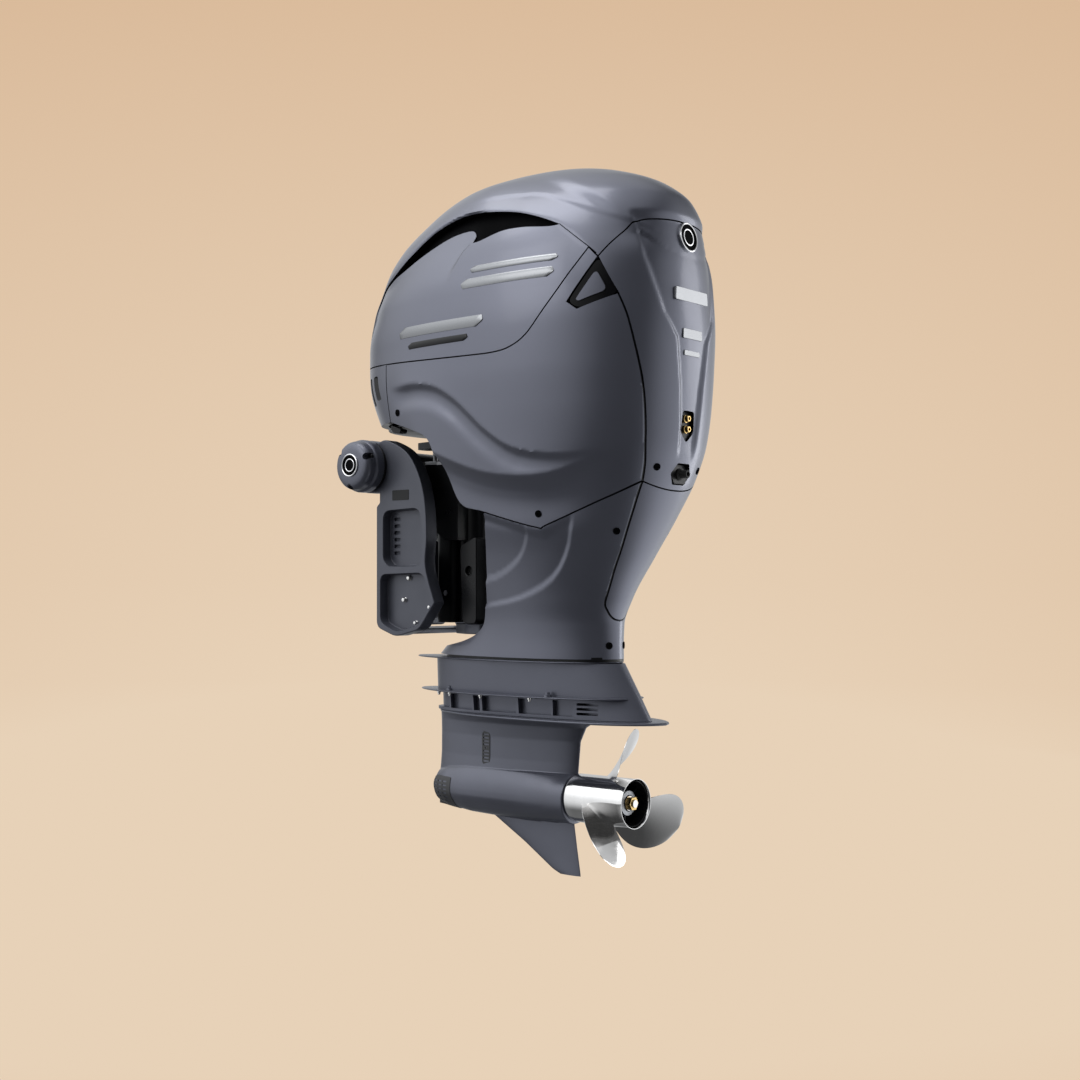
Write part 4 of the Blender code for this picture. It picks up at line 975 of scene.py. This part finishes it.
def extension():
    levels = np.array([(-0.6297, -0.0915, -0.862, 0.106), (-0.6000, -0.0915, -0.8440, 0.1075),
        (-0.5665, -0.0915, -0.824, 0.112), (-0.4776, -0.0915, -0.768, 0.118)])

    def body(by):
        rings = []
        for z in np.linspace(-0.6297, -0.4776, 14):
            front, rear, half = (np.interp(z, levels[:, 0], levels[:, k]) for k in (1, 2, 3))
            x, y = ring_xy(front - by, rear + by, half - by, 2.2, 1.9, (front + rear) / 2, 200)
            rings.append(np.stack([x, y, np.full(200, z)], 1))
        return loft(rings)
    case = made("extension_case_body", body(0.0))
    band = made("band", box((-0.665, -0.05), (-0.3, 0.3), (-0.6215, -0.5780)))
    cut(band, body(0.016))
    posts = [box((x - w, x + w), (-0.4, 0.4), (-0.7, -0.5)) for x,
        w in ((-0.196, 0.004), (-0.305, 0.003), (-0.339, 0.005), (-0.481, 0.004), (-0.600, 0.003))]
    cut(band, *posts)
    cut(case, band)
    bpy.data.objects.remove(band)
    louvres = []
    for z in (-0.5875, -0.6005, -0.6135):
        for sign in (1, -1):
            slot = pad((-0.677, -0.740), (z - 0.0036, z + 0.0036), 0.0034)
            louvres.append(prism(slot, "Y", *wide(sign, 0.058, 0.2)))
    cut(case, *louvres, shaft_bore())
    place_piece(case, "engine", "case", ["extension_case"], 30)
    spray = oval(-0.016, -0.815, 0.142, 1.75, 2.5, -0.42)
    plate = cut(made("spray_plate", leaf(spray, SPRAY_PLATE_Z, 0.0048, 0.006)), shaft_bore())
    place_piece(plate, "engine", "case")
    splash = oval(0.002, -0.756, 0.134, 1.75, 2.0, -0.45)
    plate = cut(made("splash_plate_blade", leaf(splash, SPLASH_PLATE_Z, 0.0048, 0.006)),
        shaft_bore())
    place_piece(plate, "engine", "case", ["splash_plate"])
    gasket = oval(-0.128, -0.752, 0.117, 2.0, 2.4, -0.45)
    seal = cut(made("apron_gasket", prism(gasket, "Z", -0.4730, -0.4600)), shaft_bore())
    place_piece(seal, "engine", "black")
    bolts, lugs = [], []
    for x, y in ((-0.150, 0.078), (-0.215, 0.100), (-0.355, 0.122), (-0.540, 0.124)):
        for sign in (1, -1):
            bolts.append(lathe([(0.0062, -0.5745), (0.0062, -0.5785), (0.0040, -0.5795),
                (0.0040, -0.5840), (0.0030, -0.5850)][::-1], "Z", (x, sign * y, 0), 24))
    piece("plate_bolts", joined(bolts), "engine", "steel")
    for x, y in ((-0.200, 0.084), (-0.600, 0.118)):
        for sign in (1, -1):
            lugs.append(lathe([(0.011, -0.5695), (0.010, -0.5640), (0.0065, -0.5615),
                (0.0060, -0.5570), (0.0045, -0.5560)], "Z", (x, sign * y, 0), 28))
    piece("plate_lugs", joined(lugs), "engine", "case")


def propeller():
    axis = (0, 0, PROP_Z)
    wall = [(0.0655, -0.6135), (0.0670, -0.6180), (0.0672, -0.640), (0.0670, -0.800),
        (0.0674, -0.8095), (0.0682, -0.8138), (0.0668, -0.8138), (0.0640, -0.8100),
        (0.0628, -0.790), (0.0625, -0.6135)]
    hub = made("propeller_hub", lathe(wall, "X", axis, 128, True))
    blades = []
    rows, columns = 34, 30
    for i in range(BLADES):
        turn0 = 2 * math.pi * i / BLADES
        rings = []
        for k in range(rows):
            radius = HUB_R + (TIP_R - HUB_R) * (k / (rows - 1)) ** 0.82
            share = (radius - 0.055) / 0.150
            reach = 0.44 + 0.16 * math.sin(math.pi * min(share * 0.92, 1))
            reach *= math.sqrt(max(1 - share ** 5, 0.012))
            ring = []
            for side in (1, -1):
                for j in range(columns):
                    across = math.sin(math.pi * (j / (columns - 1) - 0.5)) * side
                    angle = across * reach - 0.10 * share ** 2
                    x = -0.722 - 0.095 * share + PITCH * angle / (2 * math.pi)
                    root = math.exp(-((radius - 0.066) / 0.006)) * 0.004
                    thick = (0.0052 * (1 - share) + 0.0011 + root) * (1 - 0.85 * across ** 2)
                    slope = math.atan2(PITCH / (2 * math.pi), radius)
                    x += side * thick * math.cos(slope)
                    turn = math.pi / 2 + angle - side * thick * math.sin(slope) / radius + turn0
                    ring.append((x, radius * math.cos(turn), PROP_Z + radius * math.sin(turn)))
            rings.append(ring)
        blades.append(made(f"blade_{i}", loft(rings)))
    combine(hub, "UNION", blades)
    for blade in blades:
        bpy.data.objects.remove(blade)
    hub.name = "polished_propeller"
    place_piece(hub, PROP_BODY, "steel", ["propeller"], 40)
    inner = [(0.0624, -0.6140), (0.0624, -0.8080), (0.0605, -0.8060), (0.0600, -0.6140)]
    core = [(0.0360, -0.640), (0.0365, -0.650), (0.0360, -0.780), (0.0335, -0.7880),
        (0.0230, -0.7900), (0.0200, -0.640)]
    ribs = []
    for i in range(3):
        a = 2 * math.pi * i / 3 + 0.5
        rib = [(0.033, -0.0032), (0.0615, -0.0032), (0.0615, 0.0032), (0.033, 0.0032)]
        ribs.append(prism([(y * math.cos(a) - z * math.sin(a),
            PROP_Z + y * math.sin(a) + z * math.cos(a)) for y, z in rib], "X", -0.776, -0.650))
    obj = made("propeller_inside", joined([lathe(inner, "X", axis, 96, True), *ribs]))
    place_piece(obj, PROP_BODY, "black")
    piece("propeller_core", lathe(core, "X", axis, 64, True), PROP_BODY, "steel", material=ALLOY)
    washer = lathe([(0.0200, -0.7890), (0.0200, -0.7922), (0.0110, -0.7922), (0.0110, -0.7890)],
        "X", axis, 48, True)
    piece("propeller_washer", washer, PROP_BODY, "steel")
    nut = [(0.0195 * math.cos(math.pi * i / 3), PROP_Z + 0.0195 * math.sin(math.pi * i / 3)) for i
        in range(6)]
    obj = made("propeller_castle_nut", prism(nut, "X", -0.8075, -0.7924))
    cut(obj, rod("X", axis, 0.0112, -0.9, -0.7))
    place_piece(bevelled(obj, 0.0010, 2), PROP_BODY, "brass", ["prop_nut"])


# ---------------------------------------------------------------- transom brackets
def bracket(name, sign):
    head = arc((TILT_X, TILT_Z), 0.078, -90, 95, 40)
    tail = smooth_line([(-0.010, 0.160), (-0.046, 0.164), (-0.125, 0.126), (-0.174, 0.059),
        (-0.200, -0.023), (-0.207, -0.124), (-0.202, -0.210), (-0.238, -0.313)],
        6) + rounded([(-0.238, -0.313), (-0.176, -0.391), (-0.079, -0.413), (0.0, -0.386),
        (0.0, -0.2)], 0.02)[6:24]
    outline = tail + [(0.0, -0.030), (-0.013, -0.018), (-0.013, 0.011)] + head
    obj = made(f"clamp_casting_{name}", prism(outline, "Y", *wide(sign, *BRACKET_FACES)))
    bevelled(obj, 0.0035, 3, 40)
    upper = [(-0.030, -0.045), (-0.030, -0.185), (-0.050, -0.205), (-0.184, -0.205),
        (-0.190, -0.120), (-0.176, -0.040)]
    lower = [(-0.018, -0.232), (-0.018, -0.372), (-0.082, -0.397), (-0.172, -0.377),
        (-0.225, -0.313), (-0.190, -0.228)]

    def pocket(corners, radius):
        line = rounded(corners, radius, 6)
        return loft([[(x, sign * y, z) for x, z in shrunk(line, by)] for y, by in ((0.160, 0.0030),
            (0.1615, 0.0012), (0.1860, 0.0), (0.1900, -0.0030), (0.2000, -0.0030))])
    cuts = [pocket(upper, 0.026), pocket(lower, 0.022),
        rod("Y", (TILT_X, 0, TILT_Z), 0.0312, -0.3, 0.3),
        rod("Y", (-0.168, 0, -0.088), 0.0065, -0.3, 0.3, 32)]
    for i in range(6):
        z = -0.062 - 0.020 * i
        cuts.append(prism(pad((-0.046, -0.072), (z, z - 0.011), 0.004, 3), "Y",
            *wide(sign, 0.153, 0.165)))
    for shape in cuts:
        cut(obj, shape)
    place_piece(obj, "clamp", "dark", [f"clamp_bracket_{name}"], 40)
    flange = [(0.074, sign * 0.1880), (0.0745, sign * 0.1945), (0.072, sign * 0.1975),
        (0.0345, sign * 0.1975), (0.0345, sign * 0.1880)]
    collar = lathe(flange, "Y", (TILT_X, 0, TILT_Z), 96, True)
    piece(f"cap_collar_{name}", collar, "clamp", "dark", material=BLACK)
    cap = [(0.0705, 0.1980), (0.0745, 0.1990), (0.0775, 0.2020), (0.0779, 0.2080), (0.0778, 0.2220),
        (0.0765, 0.2275), (0.0735, 0.2310), (0.0722, 0.2330), (0.0716, 0.2460), (0.0695, 0.2530),
        (0.0650, 0.2590), (0.0590, 0.2630), (0.0500, 0.2655), (0.0400, 0.2668), (0.0340, 0.2670)]
    obj = made(f"cap_casting_{name}", lathe([(r, sign * t) for r, t in cap], "Y",
        (TILT_X, 0, TILT_Z), 120))
    wells, heads = [], []
    for degrees in (38, 158, 278):
        a = math.radians(degrees)
        x, z = TILT_X + 0.0645 * math.cos(a), TILT_Z + 0.0645 * math.sin(a)
        wells.append(rod("Y", (x, 0, z), 0.0105, *wide(sign, 0.2360, 0.30), 32))
        heads.append(lathe([(0.0075, sign * 0.2350), (0.0075, sign * 0.2410),
            (0.0060, sign * 0.2430), (0.0042, sign * 0.2430), (0.0036, sign * 0.2395)], "Y",
            (x, 0, z), 32))
    cut(obj, joined(wells))
    bevelled(obj, 0.0010, 2, 50)
    place_piece(obj, "clamp", "dark", [f"end_cap_{name}"], 40, material=CASE)
    piece(f"cap_bolts_{name}", joined(heads), "clamp", "black")
    medallion(f"cap_medallion_{name}", (TILT_X, sign * 0.2685, TILT_Z), (0, sign, 0), 0.034,
        "clamp")
    bolts = []
    for x, z, r in ((-0.090, -0.305, 0.0085), (-0.110, -0.241, 0.0085), (-0.137, -0.372, 0.0070),
            (-0.195, -0.326, 0.0080)):
        bolts.append(lathe([(r, sign * 0.1590), (r, sign * 0.1610), (r * 0.82, sign * 0.1625),
            (r * 0.82, sign * 0.1665), (r * 0.6, sign * 0.1690), (r * 0.2, sign * 0.1698)], "Y",
            (x, 0, z), 32))
    piece(f"bracket_bolts_{name}", joined(bolts), "clamp", "steel")
    plug = rod("Y", (-0.168, 0, -0.088), 0.0064, *wide(sign, 0.1500, 0.1580), 32)
    piece(f"bracket_plug_{name}", plug, "clamp", "black", material=DEEP_BLACK_AND_SHADE)
    tag = made(f"blank_plate_{name}", prism(pad((-0.068, -0.136), (-0.014, 0.016), 0.003), "Y",
        *wide(sign, 0.1890, 0.1908)))
    place_piece(bevelled(tag, 0.0004, 2), "clamp", "black")


def hose(name, points, radius, body):
    """A short fixed pipe on one body."""
    line = smooth_line(points, 8)
    rings = []
    for i, p in enumerate(line):
        ahead = (Vector(line[min(i + 1, len(line) - 1)]) - Vector(line[max(i - 1, 0)])).normalized()
        side = ahead.cross(Vector((0.11, 0.99, 0.07))).normalized()
        top = side.cross(ahead)
        rings.append([Vector(p) + (side * math.cos(a) + top * math.sin(a)) * radius for a
            in np.linspace(0, 2 * np.pi, 21)[:-1]])
    piece(name, loft(rings), body, "rubber")


BODY_OF = {n: b for b, names in frame["record"]["behaviour"]["bodies"].items() for n in names}
PROP_BODY = BODY_OF["propeller"]
EASED = {
    "swivel_bracket": 0.0030, "steering_arm": 0.0025, "lower_mount_yoke": 0.0025,
    "lower_mount_port": 0.0030, "lower_mount_starboard": 0.0030, "tilt_cylinder": 0.0020,
    "tilt_pump_motor": 0.0015, "tilt_rod": 0.0012, "tilt_support_lever": 0.0012,
    "steering_carriage": 0.0015, "bracket_anode": 0.0015, "cowl_latch": 0.0012,
    "cowl_floor": 0.0010, "engine_block": 0.0040, "cylinder_head_port": 0.0040,
    "cylinder_head_starboard": 0.0040, "intake_plenum": 0.0050, "flywheel": 0.0015,
    "exhaust_guide": 0.0015, "upper_case": 0.0010, "upper_mount_port": 0.0015,
    "upper_mount_starboard": 0.0015, "kingpin": 0.0010, "rod_pin": 0.0010,
    "cylinder_lower_pin": 0.0010, "steering_guide_rod": 0.0008, "tilt_tube": 0.0008,}


DARKER = {
    "cylinder_lower_pin": BLACK, "bracket_anode": DARK, "swivel_bracket": BLACK, "kingpin": BLACK,
    "steering_arm": BLACK, "upper_mount_port": BLACK, "upper_mount_starboard": BLACK,
    "lower_mount_yoke": DARK, "tilt_tube": DARK}


def eased():
    """CAD nodes drawn again with the rounded edges that a casting has."""
    for node, width in EASED.items():
        source = NODES[node]
        obj = linked(f"{node}_eased", source.data.copy())
        bevelled(obj, width, 3, 34)
        slot = source.data.materials[0].name.split(".")[0]
        place_piece(obj, BODY_OF[node], slot, [node], 34,
            material=DARKER.get(node, SLOT_LOOK[slot]))


def swivel_covers():
    """The dark covers round the swivel bracket, the upper mounts and the steering arm."""
    plan = pad((-0.118, -0.190), (0.058, -0.058), 0.018)
    cover = made("swivel_cover", prism(plan, "Z", -0.372, -0.060))
    wells, heads = [], []
    for sign in (1, -1):
        wells.append(rod("Y", (-0.154, 0, -0.285), 0.013, *wide(sign, 0.050, 0.1), 32))
        heads.append(rod("Y", (-0.154, 0, -0.285), 0.009, *wide(sign, 0.0490, 0.0545), 6))
    cut(cover, joined(wells))
    place_piece(bevelled(cover, 0.003), "swivel", "black")
    piece("swivel_cover_bolts", joined(heads), "swivel", "steel")
    mount = pad((-0.302, -0.385), (0.126, -0.126), 0.022)
    cover = bevelled(made("upper_mount_cover", prism(mount, "Z", 0.050, 0.190)), 0.004)
    cut(cover, shaft_bore(0.048))
    place_piece(cover, "engine", "black")
    arm = rod("Z", (-0.220, 0, 0), 0.112, 0.1465, 0.1985, 96)
    place_piece(bevelled(made("steering_arm_cover", arm), 0.004), "engine", "black")


eased()
cowl_trim()
rear_fittings()
lower_unit()
extension()
propeller()
both_sides(bracket)
swivel_covers()
hose("trim_hose_a", [(-0.085, 0.086, -0.170), (-0.120, 0.100, -0.220), (-0.125, 0.094, -0.300),
    (-0.088, 0.070, -0.328), (-0.078, 0.034, -0.322)], 0.0060, BODY_OF["tilt_cylinder"])
hose("trim_hose_b", [(-0.085, 0.070, -0.160), (-0.108, 0.078, -0.215), (-0.114, 0.080, -0.290),
    (-0.094, 0.072, -0.326), (-0.080, 0.040, -0.312)], 0.0050, BODY_OF["tilt_cylinder"])


# ---------------------------------------------------------------- camera, light and stage
def camera():
    cam = linked("camera", bpy.data.cameras.new("camera"))
    cam.data.lens, cam.data.sensor_width = 50.0, 36.0
    cam.data.shift_y = 0.0454
    cam.location = (-3.228, 3.282, -0.2733)
    cam.rotation_euler = Vector((0.6428, -0.7660, 0.0)).to_track_quat("-Z", "Y").to_euler()
    cam.data.clip_end = 60
    bpy.context.scene.camera = cam


def stage():
    rings = []
    for radius, z in [(0.01, -1.45), (3.0, -1.45), (6.0, -1.45), (7.0, -1.38), (7.8, -1.0),
            (8.2, -0.2), (8.3, 2.0), (8.3, 6.0), (6.0, 9.0), (3.0, 10.0), (0.01, 10.2)]:
        rings.append([(radius * math.cos(a), radius * math.sin(a), z) for a
            in np.linspace(0, 2 * np.pi, 97)[:-1]])
    dome = made("stage", loft(rings))
    dome.data.flip_normals()
    m = bpy.data.materials.new("stage_beige")
    m.use_nodes = True
    tree = m.node_tree
    tree.nodes.clear()
    new, link = wiring(tree)
    out = new("OutputMaterial")
    # The backdrop glows beige, brightest near one point and darker farther from it: a painted pool
    # of light.
    glow = new("Emission")
    coord = new("TexCoord")
    light_pool_distance = new("VectorMath")
    light_pool_distance.operation = "DISTANCE"
    light_pool_distance.inputs[1].default_value = (2.2, -2.6, -0.9)
    link(coord.outputs["Object"], light_pool_distance.inputs[0])
    ramp = new("ValToRGB")
    ramp.color_ramp.elements[0].position, ramp.color_ramp.elements[1].position = 0.44, 0.80
    ramp.color_ramp.elements[0].color = (0.800, 0.642, 0.480, 1)
    ramp.color_ramp.elements[1].color = (0.690, 0.480, 0.312, 1)
    reach = new("MapRange")
    reach.inputs["From Max"].default_value = 10.0
    link(light_pool_distance.outputs["Value"], reach.inputs["Value"])
    link(reach.outputs["Result"], ramp.inputs["Fac"])
    link(ramp.outputs["Color"], glow.inputs["Color"])
    link(glow.outputs["Emission"], out.inputs["Surface"])
    dome.data.materials.append(m)
    shade(dome, 60)
    for kind in ("visible_diffuse", "visible_glossy", "visible_shadow", "visible_transmission"):
        setattr(dome, kind, False)


def area(name, place, aim, size, power, colour=(1, 1, 1)):
    light = bpy.data.lights.new(name, "AREA")
    light.shape = "RECTANGLE"
    light.size, light.size_y = size
    light.energy = power
    light.color = colour
    obj = linked(name, light)
    obj.location = place
    obj.rotation_euler = (Vector(aim) - Vector(place)).to_track_quat("-Z", "Z").to_euler()
    obj.visible_camera = False


def world():
    """A grey studio: brighter forward, overhead and to starboard, darker off the port quarter."""
    scene_world = bpy.data.worlds.new("studio")
    bpy.context.scene.world = scene_world
    scene_world.use_nodes = True
    tree = scene_world.node_tree
    back = tree.nodes["Background"]
    new, link = wiring(tree)
    coord = new("TexCoord")
    total = None
    lobes = [((0.93, 0.25, 0.27), 0.30, 0.98, 0.18), ((0.68, -0.72, 0.12), 0.70, 1.0, 0.55),
        ((-0.61, -0.73, -0.30), 0.28, 0.98, 0.90), ((0.25, 0.25, 0.93), 0.35, 1.0, 0.92),
        ((0.56, 0.76, 0.33), 0.45, 1.0, 0.80), ((-0.33, -0.77, -0.55), 0.70, 1.0, 0.50),
        ((0.2, -0.2, -1.0), 0.4, 1.0, 0.10)]
    for direction, low, high, gain in lobes:
        dot = new("VectorMath")
        dot.operation = "DOT_PRODUCT"
        dot.inputs[1].default_value = Vector(direction).normalized()
        link(coord.outputs["Generated"], dot.inputs[0])
        lobe = new("MapRange")
        lobe.interpolation_type = "SMOOTHSTEP"
        lobe.inputs["From Min"].default_value, lobe.inputs["From Max"].default_value = low, high
        lobe.inputs["To Min"].default_value, lobe.inputs["To Max"].default_value = 0.0, gain
        link(dot.outputs["Value"], lobe.inputs["Value"])
        if total is None:
            total = lobe.outputs["Result"]
        else:
            add = new("Math")
            add.operation = "ADD"
            link(total, add.inputs[0])
            link(lobe.outputs["Result"], add.inputs[1])
            total = add.outputs["Value"]
    base = new("Math")
    base.operation = "ADD"
    base.inputs[1].default_value = 0.060
    link(total, base.inputs[0])
    link(base.outputs["Value"], back.inputs["Strength"])
    back.inputs["Color"].default_value = (0.96, 0.98, 1.0, 1)


def looks():
    """Every CAD node takes the finish of its slot, since some of them still show."""
    for obj in NODES.values():
        slot = obj.data.materials[0].name.split(".")[0]
        coat(obj, SLOT_LOOK[slot])


looks()
camera()
stage()
world()
area("port_softbox", (0.9, 3.9, 2.6), (-0.4, 0, 0.2), (2.6, 2.2), 22)
area("quarter_softbox", (-2.6, -3.4, 0.4), (-0.9, 0, 0.0), (1.2, 3.4), 27)
area("top_softbox", (0.4, 1.2, 3.6), (-0.4, 0, 0.3), (2.4, 1.6), 30)
bpy.context.scene.view_settings.view_transform = "Standard"

for helper in HELPERS:
    bpy.data.objects.remove(helper)
